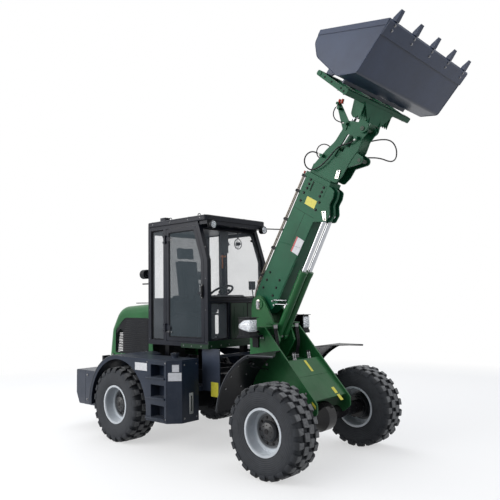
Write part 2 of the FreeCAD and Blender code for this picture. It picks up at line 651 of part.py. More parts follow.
def door(side):
    y1 = CAB_HALF_W
    frame = plate_xz(door_outline(0), y1 - DOOR_T, y1)
    hole = plate_xz(door_outline(52), y1 - DOOR_T - 1, y1 + 1)
    frame = frame.cut(hole)
    for z in DOOR_HINGE_Z:
        arm = box(HINGE_LINE_X - 2, HINGE_LINE_X + 105, y1 + 0.5, y1 + 9, z - 28, z + 28)
        root = box(HINGE_LINE_X + 14, HINGE_LINE_X + 60, y1 - 0.5, y1 + 1, z - 28, z + 28)
        eye = Part.makeCylinder(14, 56, vec(HINGE_LINE_X, HINGE_LINE_Y, z - 28))
        frame = joined([frame, arm, root, eye])
        frame = frame.cut(Part.makeCylinder(7 + RUN_FIT, 60, vec(HINGE_LINE_X, HINGE_LINE_Y, z - 30)))
    handle = box(CAB_FRONT_X - CAB_POST - 110, CAB_FRONT_X - CAB_POST - 22, y1 - 0.5, y1 + 22, 2120, 2150)
    frame = joined([frame, handle])
    return frame if side > 0 else mirrored(frame)


def cab_hinges():
    """Door hinge pins with their plates on the door posts, and the hood's brackets on the rear wall."""
    parts = [hood_hinges()]
    for z in DOOR_HINGE_Z:
        pin = Part.makeCylinder(7, 120, vec(HINGE_LINE_X, HINGE_LINE_Y, z - 60))
        lower = box(HINGE_LINE_X - 45, HINGE_LINE_X + 8, CAB_HALF_W, HINGE_LINE_Y + 10, z - 60, z - 30)
        upper = box(HINGE_LINE_X - 45, HINGE_LINE_X + 8, CAB_HALF_W, HINGE_LINE_Y + 10, z + 30, z + 60)
        parts.append(both(joined([pin, lower, upper])))
    return Part.makeCompound(parts)


def door_glass(side):
    y1 = CAB_HALF_W
    glass = plate_xz(door_outline(52.3), y1 - 20, y1 - 20 + GLASS_T)
    return glass if side > 0 else mirrored(glass)


def soft_block(x0, x1, y0, y1, z0, z1):
    """A cushion's block with its upright and its long edges rounded."""
    block = box(x0, x1, y0, y1, z0, z1)
    block = block.makeFillet(34, [e for e in block.Edges if e.BoundBox.ZLength > 50])
    return block.makeChamfer(14, [e for e in block.Edges if e.BoundBox.ZLength < 1])


def seat_base():
    spine = lean_back(box(-20.3, -0.3, -120, 120, -150, 400))
    pedestal = box(SEAT_X + 40, SEAT_X + 420, -190, 190, CAB_FLOOR_Z + 50, 1801)
    return joined([pedestal, box(SEAT_X - 25, SEAT_X + 470, -220, 220, 1800, 1830), spine])


def seat_cushion():
    return soft_block(SEAT_X + 26, SEAT_X + 495, -235, 235, 1830.3, 1950)


def lean_back(shape):
    """Places a shape drawn upright about the foot of the seat's back."""
    shape.rotate(vec(0, 0, 0), Y, -8)
    shape.translate(vec(SEAT_X, 0, 1962))
    return shape


def seat_back():
    slab = soft_block(0, 120, -225, 225, 0, 760)
    head = soft_block(10, 110, -170, 170, 700, 920)
    return lean_back(joined([slab, head]))


def dashboard():
    column = box(1180, 1345, -170, 170, CAB_FLOOR_Z + 50, 1901)
    top = plate_xz([(1080, 1900, 0), (1345, 1900, 0), (1345, 2030, 20), (1200, 2110, 30), (1080, 2050, 20)],
                   -330, 330)
    return joined([column, top, steering_wheel()])


def steering_wheel():
    """Wheel on its stem, leaning back towards the driver."""
    ring = Part.makeTorus(185, 15)
    boss = Part.makeCylinder(38, 26, vec(0, 0, -13))
    spoke = box(-180, 180, -12, 12, -6, 6)
    stem = Part.makeCylinder(18, 150, vec(0, 0, -150))
    wheel_part = joined([ring, boss, spoke, stem])
    wheel_part.rotate(vec(0, 0, 0), Y, -30)
    wheel_part.translate(vec(1075, 0, 2150))
    return wheel_part


def roof_lamps():
    return both(Part.makeCylinder(58, 60, vec(CAB_FRONT_X - 11.8, CAB_HALF_W - 79, CAB_TOP_Z - 68), X))


def roof_fittings(top):
    """Beacon base on the rear right of the roof, and the lifting eyes."""
    parts = [box(330, 450, -560, -470, top - 1, top + 60)]
    for x in (480.0, 1120.0):
        for y in (-480.0, 480.0):
            eye = Part.makeTorus(26, 6, vec(x, y, top + 30), Y)
            foot = Part.makeCylinder(9, 16, vec(x, y, top - 6))
            parts += [eye, foot]
    return parts


def mirror_left():
    """Outside mirror on an arm from the side of the roof's brow."""
    y0 = CAB_HALF_W + ROOF_OVER - 29.8
    knuckle = box(CAB_FRONT_X - 55, CAB_FRONT_X - 15, y0, y0 + 34, CAB_TOP_Z - 45, CAB_TOP_Z - 10)
    elbow = vec(CAB_FRONT_X + 300, CAB_HALF_W + 76, CAB_TOP_Z - 70)
    arm = bar(vec(CAB_FRONT_X - 30, y0 + 18, CAB_TOP_Z - 35), elbow, 9)
    ball = box(elbow.x - 13, elbow.x + 13, elbow.y - 13, elbow.y + 13, elbow.z - 14, elbow.z + 14)
    drop = bar(elbow, elbow - vec(0, 0, 235), 8)
    glass = box(elbow.x - 15, elbow.x + 20, elbow.y - 10, elbow.y + 170, elbow.z - 455, elbow.z - 225)
    return joined([knuckle, arm, ball, drop, glass])


def rear_lamps():
    """Round lamps on the cab's rear corners, each on its bracket."""
    lamp = Part.makeCylinder(72, 90, vec(-45, CAB_HALF_W - 30, 2450), X)
    arm = box(-20, CAB_REAR_X - 0.2, CAB_HALF_W - 45, CAB_HALF_W - 15, 2440, 2460)
    stalk = box(-60, CAB_REAR_X - 0.2, CAB_HALF_W - 40, CAB_HALF_W - 20, 2290, 2310)
    return Part.makeCompound([both(joined([lamp, arm])), both(stalk)])


# ---- front frame ----
def front_frame():
    nose_x = WHEELBASE + TOWER_NOSE
    side = plate_xz([(1985, TOWER_STEP_Z, 15), (2249, TOWER_STEP_Z, 20), (nose_x, 760, 60),
                     (nose_x, 640, 40), (nose_x - 100, 560, 0), (nose_x - 420, 560, 60),
                     (nose_x - 620, 700, 200), (1985, 760, 60)],
                    TOWER_Y - TOWER_T, TOWER_Y, holes=[(WHEELBASE, AXLE_Z, AXLE_TUBE_R + 1)])
    inner = TOWER_Y - TOWER_T
    ear = plate_xz([(1840, 1200, 0), (1845, PIVOT_Z - 60, 0), (PIVOT_X - PIVOT_BOSS_R + 8, PIVOT_Z + 60, 90),
                    (PIVOT_X + 20, PIVOT_Z + PIVOT_BOSS_R + 20, 90),
                    (PIVOT_X + PIVOT_BOSS_R + 8, PIVOT_Z - 10, 90),
                    (2290, 1600, 40), (2330, 1480, 30), (2150, 1200, 0)], EAR_Y, EAR_Y + EAR_T)
    boss = bar_y(PIVOT_X, PIVOT_Z, 72, EAR_Y, EAR_Y + EAR_T + 12)
    shelf = box(2190, TOWER_HOSE_X + 22, EAR_Y + EAR_T - 1, 275, TOWER_SHELF_Z, TOWER_SHELF_Z + 16)
    bridge = plate_xz([(1985, TOWER_STEP_Z - 1, 0), (2200, TOWER_STEP_Z - 1, 0), (2215, TOWER_STEP_Z - 26, 0),
                       (1985, TOWER_STEP_Z - 26, 0)], EAR_Y + EAR_T - 1, inner + 1)
    low_bridge = box(1985, TOWER_HOSE_X + 30, EAR_Y, inner + 1, 1200, TOWER_FLOOR_Z)
    floor = box(1985, 2340, -inner - 1, inner + 1, 1175, 1200)
    back = box(1985, 2010, -inner - 1, inner + 1, JAW_LOW_Z + JAW_T, 1200)
    cover = plate_xz([(nose_x - 500, COVER_TOP_Z - 32, 0), (nose_x - 485, COVER_TOP_Z - 15, 0),
                      (nose_x - 60, 790, 0), (nose_x - 75, 770, 0)],
                     -inner - 1, inner + 1)
    cover = cover.cut(bar_y(WHEELBASE + 20, AXLE_Z, DIFF_R + 60, -170, 170))
    lugs = []
    for z0 in (JAW_LOW_Z + JAW_T + 5, JAW_HIGH_Z - JAW_T - 5):
        lugs.append(plate_xy([(2010, -200, 0), (ARTIC_X - 20, -75, 60), (ARTIC_X - 70, 0, 40),
                              (ARTIC_X - 20, 75, 60), (2010, 200, 0)], z0, z0 + JAW_T))
    parts = [side, mirrored(side), ear, mirrored(ear), boss, mirrored(boss), bridge, mirrored(bridge),
             shelf, mirrored(shelf),
             low_bridge, mirrored(low_bridge), floor, back, cover] + lugs
    frame = joined(parts)
    frame = frame.cut(bar_y(PIVOT_X, PIVOT_Z, PIVOT_PIN_R, -400, 400))
    frame = frame.cut(bar_y(LIFT_BASE_X, LIFT_BASE_Z, LIFT_PIN_R, -400, 400))
    frame = frame.cut(Part.makeCylinder(ARTIC_PIN_R, 800, vec(ARTIC_X, 0, 400)))
    for side_sign in (-1, 1):
        ex = ARTIC_X + STEER_EYE[0]
        ey = side_sign * STEER_EYE[1]
        for z0 in (STEER_Z - 45, STEER_Z + 30):
            lug = plate_xy([(ex - 35, ey - 35, 30), (ex - 35, ey + 35, 30),
                            (2010, ey + 60, 0), (2010, ey - 60, 0)], z0, z0 + 15)
            frame = frame.fuse(lug)
    return frame.removeSplitter()


def front_frame_pins():
    """Articulation pin, boom pivot pin with its keepers, and the lift cylinders' base pin."""
    cap = Part.makeCylinder(55, 12, vec(ARTIC_X, 0, JAW_HIGH_Z + JAW_T + 0.2))
    height = JAW_HIGH_Z + JAW_T + 1 - JAW_LOW_Z
    upright = joined([Part.makeCylinder(ARTIC_PIN_R, height, vec(ARTIC_X, 0, JAW_LOW_Z)), cap])
    out = EAR_Y + EAR_T + 20
    pin = bar_y(PIVOT_X, PIVOT_Z, PIVOT_PIN_R, -out, out)
    keeper = box(PIVOT_X - 20, PIVOT_X + 20, out - 1, out + 10, PIVOT_Z - 60, PIVOT_Z + 45)
    pivot = joined([pin, keeper, mirrored(keeper)])
    base = bar_y(LIFT_BASE_X, LIFT_BASE_Z, LIFT_PIN_R, -EAR_Y - EAR_T - 8, EAR_Y + EAR_T + 8)
    return Part.makeCompound([upright, pivot, base])


def front_fenders():
    """Curved guards behind the front wheels, from the tower's side plates outwards, with a lipped edge."""
    r = FRONT_FENDER_R
    outer = bar_y(WHEELBASE, AXLE_Z, r, TOWER_Y + 0.2, FRONT_FENDER_Y)
    inner = bar_y(WHEELBASE, AXLE_Z, r - 8, TOWER_Y - 1, FRONT_FENDER_Y - 10)
    lip = bar_y(WHEELBASE, AXLE_Z, r - 34, FRONT_FENDER_Y - 11, FRONT_FENDER_Y + 1)
    shell = outer.cut(inner).cut(lip)
    a = math.radians(FRONT_FENDER_A0)
    b = math.radians(FRONT_FENDER_A1)
    keep = plate_xz([(WHEELBASE, AXLE_Z, 0), (WHEELBASE + 1400 * math.cos(a), AXLE_Z + 1400 * math.sin(a), 0),
                     (WHEELBASE - 1600, AXLE_Z + 1500, 0),
                     (WHEELBASE + 1400 * math.cos(b), AXLE_Z + 1400 * math.sin(b), 0)],
                    TOWER_Y - 5, FRONT_FENDER_Y + 5)
    return both(shell.common(keep))


def headlights():
    """Lamps on brackets either side of the tower."""
    y0 = TOWER_Y + 0.2
    y1 = LAMP_Y + 75
    base = box(LAMP_X - 160, LAMP_X + 70, y0, y1, LAMP_Z - 145, LAMP_Z - 120)
    foot = box(LAMP_X - 110, LAMP_X - 10, y0, y0 + 20, LAMP_Z - 285, LAMP_Z - 144)
    housing = box(LAMP_X - 60, LAMP_X + 65, LAMP_Y - 72, LAMP_Y + 72, LAMP_Z - 121, LAMP_Z + 110)
    housing = housing.makeFillet(18, [e for e in housing.Edges if e.BoundBox.ZLength > 100])
    hood_part = box(LAMP_X - 120, LAMP_X + 90, LAMP_Y - 78, LAMP_Y + 78, LAMP_Z + 109, LAMP_Z + 117)
    return both(joined([base, foot, housing, hood_part]))


# ---- boom ----
def boom_outer():
    w = BOOM_W / 2
    body = plate_xz([(-BOOM_TAIL, -60, 60), (-BOOM_TAIL, 90, 60), (60, BOOM_TOP, 120),
                     (BOOM_LEN, BOOM_TOP, 0),
                     (BOOM_LEN, -BOOM_BOTTOM, 0), (150, -BOOM_BOTTOM, 80), (-60, -150, 60)], -w, w)
    bore = box(200, BOOM_LEN + 5, -w + BOOM_WALL, w - BOOM_WALL, -BOOM_BOTTOM + BOOM_WALL,
               BOOM_TOP - BOOM_WALL)
    body = body.cut(bore)
    collar = box(BOOM_LEN - 60, BOOM_LEN, -w - 14, w + 14, -BOOM_BOTTOM - 14, BOOM_TOP + 14)
    collar = collar.cut(box(BOOM_LEN - 70, BOOM_LEN + 5, -w + 1, w - 1, -BOOM_BOTTOM + 1, BOOM_TOP - 1))
    pads = []
    for v0, v1 in ((-BOOM_BOTTOM + BOOM_WALL - 0.5, -BOOM_BOTTOM + BOOM_WALL + INNER_GAP - 0.3),
                   (BOOM_TOP - BOOM_WALL - INNER_GAP + 0.3, BOOM_TOP - BOOM_WALL + 0.5)):
        pads.append(box(BOOM_LEN - 160, BOOM_LEN - 10, -70, 70, v0, v1))
        pads.append(box(400, 520, -70, 70, v0, v1))
    sleeve = bar_y(0, 0, 80, -EAR_Y + 3, EAR_Y - 3)
    doubler = plate_xz([(180, -BOOM_BOTTOM + 15, 40), (180, 150, 40), (900, 150, 60),
                        (980, -BOOM_BOTTOM + 15, 30)],
                       w - 0.5, w + 6)
    eye_u, eye_v = boom_local(LIFT_EYE_X, LIFT_EYE_Z)
    ears = []
    for y0, y1 in ((-22.0, 22.0), (LIFT_Y + 34, LIFT_Y + 52), (-LIFT_Y - 52, -LIFT_Y - 34)):
        ears.append(plate_xz([(eye_u - 158, -BOOM_BOTTOM + 2, 0), (eye_u - 68, eye_v - 66, 40),
                              (eye_u + 40, eye_v - 72, 40), (eye_u + 145, eye_v - 8, 60),
                              (eye_u + 240, eye_v - 14, 40),
                              (eye_u + 330, eye_v + 12, 40), (eye_u + 350, -BOOM_BOTTOM + 2, 0)], y0, y1))
    body = joined([body, collar, sleeve, doubler, mirrored(doubler)] + pads + ears)
    body = body.cut(bar_y(0, 0, PIVOT_PIN_R + RUN_FIT, -400, 400))
    return in_boom(body)


def boom_local(x, z):
    a = math.radians(BOOM_ANGLE)
    dx = x - PIVOT_X
    dz = z - PIVOT_Z
    return (dx * math.cos(a) + dz * math.sin(a), -dx * math.sin(a) + dz * math.cos(a))


def boom_pipes():
    runs = []
    for y in (-70.0, -40.0):
        run = tube([(-20, y, BOOM_TOP - 30 + 40), (150, y, BOOM_TOP + 25), (500, y, BOOM_TOP + 22),
                    (BOOM_LEN - 200, y, BOOM_TOP + 22)], 16)
        runs.append(run)
    clamps = [box(u, u + 24, -88, -22, BOOM_TOP, BOOM_TOP + 36) for u in (320.0, 900.0, 1480.0)]
    return in_boom(joined(runs[:1] + clamps).fuse(runs[1:]).removeSplitter())


def boom_inner():
    half = BOOM_W / 2 - BOOM_WALL - INNER_GAP
    top = BOOM_TOP - BOOM_WALL - INNER_GAP
    low = -BOOM_BOTTOM + BOOM_WALL + INNER_GAP
    tube_part = box(INNER_TAIL, 2330, -half, half, low, top)
    tube_part = tube_part.cut(box(INNER_TAIL - 5, 2400, -half + 10, half - 10, low + 10, top - 10))
    above = plate_xz([(2040, 110, 0), (2290, 15, 0), (2400, -50, 0), (2400, 300, 0), (2040, 300, 0)], -300,
                     300)
    tube_part = tube_part.cut(above)
    head = plate_xz(head_outline(), half - 0.5, half + 17)
    window = plate_xz([(2230, -105, 30), (2560, -165, 30), (2560, -270, 30), (2260, -290, 30)], half - 5,
                      half + 20)
    lug = plate_xz([(2060, low + 2, 0), (LUG_U - 10, LUG_V - 57, 50), (LUG_U + 52, LUG_V - 20, 50),
                    (2420, low + 2, 0)], half - 16, half + 10)
    bracket = plate_xz([(2585, -120, 0), (2585, -72, 0), (2820, 150, 20), (2890, 140, 20), (2700, -115, 30)],
                       half + 16, half + 28)
    couplers = [bar_y(u, v, 19, half + 27, half + 95) for u, v in ((2800.0, 75.0), (2850.0, 118.0))]
    side = half + 16
    fitting = box(2160, 2200, side, side + 52, 30, 72)
    port = box(2540, 2580, side, side + 52, -350, -312)
    stub = box(2645, 2680, side, side + 50, -115, -82)
    inner_parts = [tube_part, head.cut(window), mirrored(head.cut(window)), lug, mirrored(lug)]
    inner_parts += [mirrored(s) for s in [bracket, fitting, port, stub] + couplers]
    inner_parts.append(box(2180, 2215, -half + 2, -half + 29, -46, -16))
    inner_parts.append(box(2280, 2315, -half + 2, -half + 29, -76, -46))
    inner_parts.append(box(2540, 2580, side, side + 14, -350, -312))
    inner_parts.append(box(2348, 2388, half + 8, half + 30, -420, -380))
    body = joined(inner_parts)
    body = body.cut(bar_y(HINGE_U, HINGE_V, HITCH_PIN_R, -300, 300))
    body = body.cut(bar_y(LUG_U, LUG_V, 24, -300, 300))
    rear = bar_y(TILT_BASE_U, TILT_BASE_V, 22, -half + 9, half - 9)
    body = joined([body, rear])
    return in_boom(body)


def head_outline():
    """Side view of the boom's head: a curved upper arm, a rounded foot and the hinge boss."""
    return [(1945, -130, 0), (1945, -300, 45), (2060, -345, 30), (2300, -372, 60), (2420, -404, 60),
            (2560, -392, 60), (HINGE_U, HINGE_V - 70, 62), (HINGE_U + 78, HINGE_V - 20, 62),
            (HINGE_U + 50, HINGE_V + 120, 60), (2700, -68, 30), (2570, -62, 200), (2400, -30, 250),
            (2270, 42, 250),
            (2012, 142, 40), (1985, 100, 30)]


def head_pins():
    half = BOOM_W / 2 - BOOM_WALL - INNER_GAP
    hinge = bar_y(HINGE_U, HINGE_V, HITCH_PIN_R, -half - 62, half + 62)
    lower = bar_y(LUG_U, LUG_V, 24, -half - 16, half + 16)
    keeper = box(2030, 2110, half + 17, half + 26, -300, -268)
    return in_boom(Part.makeCompound([hinge, lower, keeper, mirrored(keeper)]))


# ---- hoses ----
HOSE_D = 18.0
LOOP_D = 14.0
SIDE_HOSE = [(2560, 112, -331), (2572, 200, -322), (2608, 330, -303), (2645, 480, -288), (2672, 640, -284),
             (2660, 770, -296), (2590, 850, -340), (2490, 828, -398), (2435, 730, -430), (2420, 600, -441),
             (2424, 450, -436), (2412, 310, -428), (2385, 200, -412), (2368, 112, -400)]
NEAR_HOSE = [(2180, -130, 66), (2190, -146, 150), (2165, -153, 228), (2100, -158, 272), (2025, -159, 264),
             (1968, -156, 210), (1950, -151, 138), (1975, -148, 66), (2035, -146, 8), (2105, -145, -38),
             (2185, -144, -72), (2270, -143, -98), (2350, -143, -132), (2410, -142, -188), (2450, -142, -252),
             (2495, -140, -305), (2556, -134, -329)]
LOOP_HOSE = [(2297, -73, -55), (2318, -73, 10), (2330, -72, 85), (2312, -70, 158), (2258, -69, 207),
             (2190, -69, 205), (2140, -70, 155), (2132, -72, 85), (2160, -73, 20), (2196, -73, -25)]
COUPLER_HOSE = [(2662, -135, -88), (2650, -148, -10), (2655, -154, 65), (2700, -156, 125), (2770, -155, 142),
                (2836, -150, 125)]


def head_hoses():
    """Loops of hose at the boom's head, by node name, in boom axes (along, across, up)."""
    routes = {"head_hose_side": (SIDE_HOSE, HOSE_D), "head_hose_near": (NEAR_HOSE, HOSE_D),
              "head_hose_loop": (LOOP_HOSE, LOOP_D), "head_hose_coupler": (COUPLER_HOSE, LOOP_D)}
    return {name: in_boom(tube(points, size, name)) for name, (points, size) in routes.items()}


def tower_hoses():
    """Bundles held between the tower's floor and the shelves on the pivot ears."""
    hoses = []
    for y in (205.0, 229.0, 253.0):
        x = TOWER_HOSE_X
        hoses.append(tube([(x, y, TOWER_FLOOR_Z + 0.2), (x, y, 1310), (x + 34, y, 1450), (x + 4, y, 1590),
                           (x, y, TOWER_SHELF_Z - 0.2)], 20))
    return Part.makeCompound([both(h) for h in hoses])


# ---- cylinders ----
def cylinder_parts(length, barrel_len, barrel_r, rod_r, eye_w, pin_r, eye_r, close):
    """A barrel with its base eye at the origin and a rod whose eye lies at the given length, along +X.

    The rod ends short of the bore's bottom by the travel left for closing.
    """
    base_eye = bar_y(0, 0, eye_r, -eye_w / 2, eye_w / 2)
    neck = Part.makeCylinder(eye_r * 0.8, eye_r * 1.4, vec(0, 0, 0), X)
    shell = Part.makeCylinder(barrel_r, barrel_len - eye_r, vec(eye_r, 0, 0), X)
    gland = Part.makeCylinder(barrel_r + 5, 60, vec(barrel_len - 60, 0, 0), X)
    barrel = joined([base_eye, neck, shell, gland])
    barrel = barrel.cut(bar_y(0, 0, pin_r + RUN_FIT, -200, 200))
    barrel = barrel.cut(Part.makeCylinder(rod_r + RUN_FIT, barrel_len, vec(eye_r + 60, 0, 0), X))
    tail = eye_r + 65 + close
    rod = Part.makeCylinder(rod_r, length - tail, vec(tail, 0, 0), X)
    rod_eye = bar_y(length, 0, eye_r, -eye_w / 2, eye_w / 2)
    return barrel, joined([rod, rod_eye])


def placed_cylinder(parts, x, z, angle, y):
    out = []
    for part in parts:
        shape = axis_frame(part, x, z, angle)
        shape.translate(vec(0, y, 0))
        out.append(shape)
    return out


def lift_cylinders():
    dx = LIFT_EYE_X - LIFT_BASE_X
    dz = LIFT_EYE_Z - LIFT_BASE_Z
    length = math.hypot(dx, dz)
    parts = cylinder_parts(length, LIFT_BARREL_LEN, LIFT_BARREL_R, LIFT_ROD_R, 54, LIFT_PIN_R, 50,
                           LIFT_CLOSE)
    angle = math.degrees(math.atan2(dz, dx))
    right = placed_cylinder(parts, LIFT_BASE_X, LIFT_BASE_Z, angle, -LIFT_Y)
    left = placed_cylinder(parts, LIFT_BASE_X, LIFT_BASE_Z, angle, LIFT_Y)
    return Part.makeCompound([right[0], left[0]]), Part.makeCompound([right[1], left[1]])


def tilt_eye():
    a = math.radians(BUCKET_ANGLE + TILT_ARM_ANGLE)
    return HINGE_X + TILT_ARM * math.cos(a), HINGE_Z + TILT_ARM * math.sin(a)


def tilt_cylinder():
    bx, bz = boom_point(TILT_BASE_U, TILT_BASE_V)
    ex, ez = tilt_eye()
    length = math.hypot(ex - bx, ez - bz)
    parts = cylinder_parts(length, TILT_BARREL_LEN, TILT_BARREL_R, TILT_ROD_R, 50, 22, 40, TILT_CLOSE)
    return placed_cylinder(parts, bx, bz, math.degrees(math.atan2(ez - bz, ex - bx)), 0)


def steering_cylinder(side):
    bx = ARTIC_X + STEER_BASE[0]
    by = side * STEER_BASE[1]
    dx = STEER_EYE[0] - STEER_BASE[0]
    dy = side * (STEER_EYE[1] - STEER_BASE[1])
    parts = cylinder_parts(math.hypot(dx, dy), STEER_BARREL_LEN, STEER_BARREL_R, STEER_ROD_R, 56, 18, 32,
                           STEER_CLOSE)
    out = []
    for part in parts:
        shape = part.copy()
        shape.rotate(vec(0, 0, 0), X, 90)
        shape.rotate(vec(0, 0, 0), Z, math.degrees(math.atan2(dy, dx)))
        shape.translate(vec(bx, by, STEER_Z))
        out.append(shape)
    return out


def rear_frame_pins():
    """The steering cylinders' base pins."""
    bx = ARTIC_X + STEER_BASE[0]
    return both(Part.makeCylinder(18, 150, vec(bx, STEER_BASE[1], STEER_Z - 75)))


# ---- hitch and bucket, drawn in the bucket's own axes about the hinge ----
def hitch_frame():
    """Quick hitch: flat cheeks, a ribbed lower beam, a top tube and the arms that carry the hinge."""
    beam = plate_xz([(FRAME_A0, FRAME_B0, 18), (FRAME_A1 + 12, FRAME_B0, 18),
                     (FRAME_A1 + 12, FRAME_B0 + 90, 18),
                     (FRAME_A0, FRAME_B0 + 90, 18)], -HITCH_HALF_W + 1, HITCH_HALF_W - 1)
    tube_y = HITCH_HALF_W + 6
    parts = [beam, bar_y(HITCH_TUBE_A, HITCH_TUBE_B, HITCH_TUBE_R, -tube_y, tube_y)]
    cheek = [(FRAME_A0, FRAME_B0, 26), (FRAME_A1, FRAME_B0, 26), (FRAME_A1, FRAME_B1, 26),
             (FRAME_A0, FRAME_B1, 26)]
    for y0, y1 in ((HITCH_HALF_W - 26, HITCH_HALF_W), (390.0, 410.0), (30.0, 60.0)):
        upright = plate_xz(cheek, y0, y1)
        parts += [upright, mirrored(upright)]
    arm_y = BOOM_W / 2 - BOOM_WALL - INNER_GAP + 17 + 8
    arm_points = [(-60, -30, 58), (20, -66, 58), (FRAME_A0 + 20, FRAME_B0 + 10, 0), (FRAME_A0 + 20, 205, 0),
                  (-45, 62, 50)]
    parts += list(both(plate_xz(arm_points, arm_y, arm_y + 25)).Solids)
    web = [(95, -8, 0), (FRAME_A0 + 20, FRAME_B0 + 5, 0), (FRAME_A0 + 20, 150, 0), (150, 95, 0)]
    for y in (175.0, 225.0, 275.0, 325.0):
        parts += list(both(plate_xz(web, y - 6, y + 6)).Solids)
    gusset = plate_xy([(95, -155, 0), (300, -350, 0), (300, 350, 0), (95, 155, 0)], -6, 6)
    gusset.rotate(vec(0, 0, 0), Y, -13)
    gusset.translate(vec(0, 0, -36))
    parts.append(gusset)
    arm = math.radians(TILT_ARM_ANGLE)
    ta = TILT_ARM * math.cos(arm)
    tb = TILT_ARM * math.sin(arm)
    ear = plate_xz([(ta - 52, tb - 30, 46), (ta - 30, tb + 52, 46), (FRAME_A0 + 10, 430, 0),
                    (FRAME_A0 + 10, 200, 0)],
                   33, 53)
    ear = ear.fuse(bar_y(ta, tb, 46, 33, 53))
    parts += [ear, mirrored(ear)]
    body = joined(parts)
    body = body.cut(bar_y(0, 0, HITCH_PIN_R + RUN_FIT, -400, 400))
    return in_bucket(body)


def bucket_profile(inset):
    """Inner or outer side view of the bucket, heel at (HEEL_A, HEEL_B)."""
    h, k = HEEL_A, HEEL_B
    return [(h + inset * 0.2, k + inset, 60), (h - 142 + inset, k + 206, 40), (h - 100 + inset, k + 584, 40),
            (h + 12 + inset, k + 711 - inset * 0.6, 20), (h + 155, k + 736 - inset, 0),
            (h + 618, k + inset, 0)]


def bucket():
    w = BUCKET_W / 2
    outer = plate_xz(bucket_profile(0), -w, w)
    inner_points = bucket_profile(BUCKET_T)
    inner_points[4] = (HEEL_A + 190, HEEL_B + 770, 0)
    inner_points[5] = (HEEL_A + 700, HEEL_B + BUCKET_T, 0)
    inner = plate_xz(inner_points, -w + 14, w - 14)
    body = outer.cut(inner)
    edge = plate_xz([(HEEL_A + 444, HEEL_B - 14, 0), (HEEL_A + 600, HEEL_B - 14, 0),
                     (HEEL_A + 618, HEEL_B + 1, 0),
                     (HEEL_A + 444, HEEL_B + 1, 0)], -w, w)
    strip = plate_xz([(HEEL_A + 95, HEEL_B + 728, 0), (HEEL_A + 155, HEEL_B + 736, 0),
                      (HEEL_A + 618, HEEL_B, 0),
                      (HEEL_A + 545, HEEL_B, 0)], w - 1, w + 8)
    hooks = []
    for y in (-560.0, 560.0):
        hook = plate_xz([(HEEL_A - 98, 430, 0), (HEEL_A - 8, 568, 0), (HITCH_TUBE_A + 60, 580, 30),
                         (HITCH_TUBE_A - 8, HITCH_TUBE_B + 52, 30), (HITCH_TUBE_A - 44, HITCH_TUBE_B + 20, 8),
                         (HITCH_TUBE_A, HITCH_TUBE_B, 0),
                         (HITCH_TUBE_A + 70, HITCH_TUBE_B - 60, 30)], y - 12, y + 12)
        grip = bar_y(HITCH_TUBE_A, HITCH_TUBE_B, HITCH_TUBE_R + 0.3, y - 20, y + 20)
        hooks.append(hook.cut(grip))
    hooks.append(plate_xz([(FRAME_A1 + 25, 172, 6), (HEEL_A - 128, 172, 0), (HEEL_A - 128, 192, 0),
                           (FRAME_A1 + 25, 192, 6)], -HITCH_HALF_W + 30, HITCH_HALF_W - 30))
    return in_bucket(joined([body, edge, strip, mirrored(strip)] + hooks))


def bucket_teeth():
    teeth = []
    for i in range(5):
        y = -880 + 440 * i
        tooth = plate_xz([(HEEL_A + 500, HEEL_B + 10.3, 0), (HEEL_A + 500, HEEL_B + 34, 0),
                          (HEEL_A + 640, HEEL_B + 38, 0),
                          (HEEL_A + 745, HEEL_B + 6, 0), (HEEL_A + 745, HEEL_B - 2, 0),
                          (HEEL_A + 640, HEEL_B - 14, 0),
                          (HEEL_A + 618.3, HEEL_B - 14, 0),
                          (HEEL_A + 618.3, HEEL_B + 10.3, 0)], y - 32, y + 32)
        teeth.append(tooth)
    return in_bucket(Part.makeCompound(teeth))


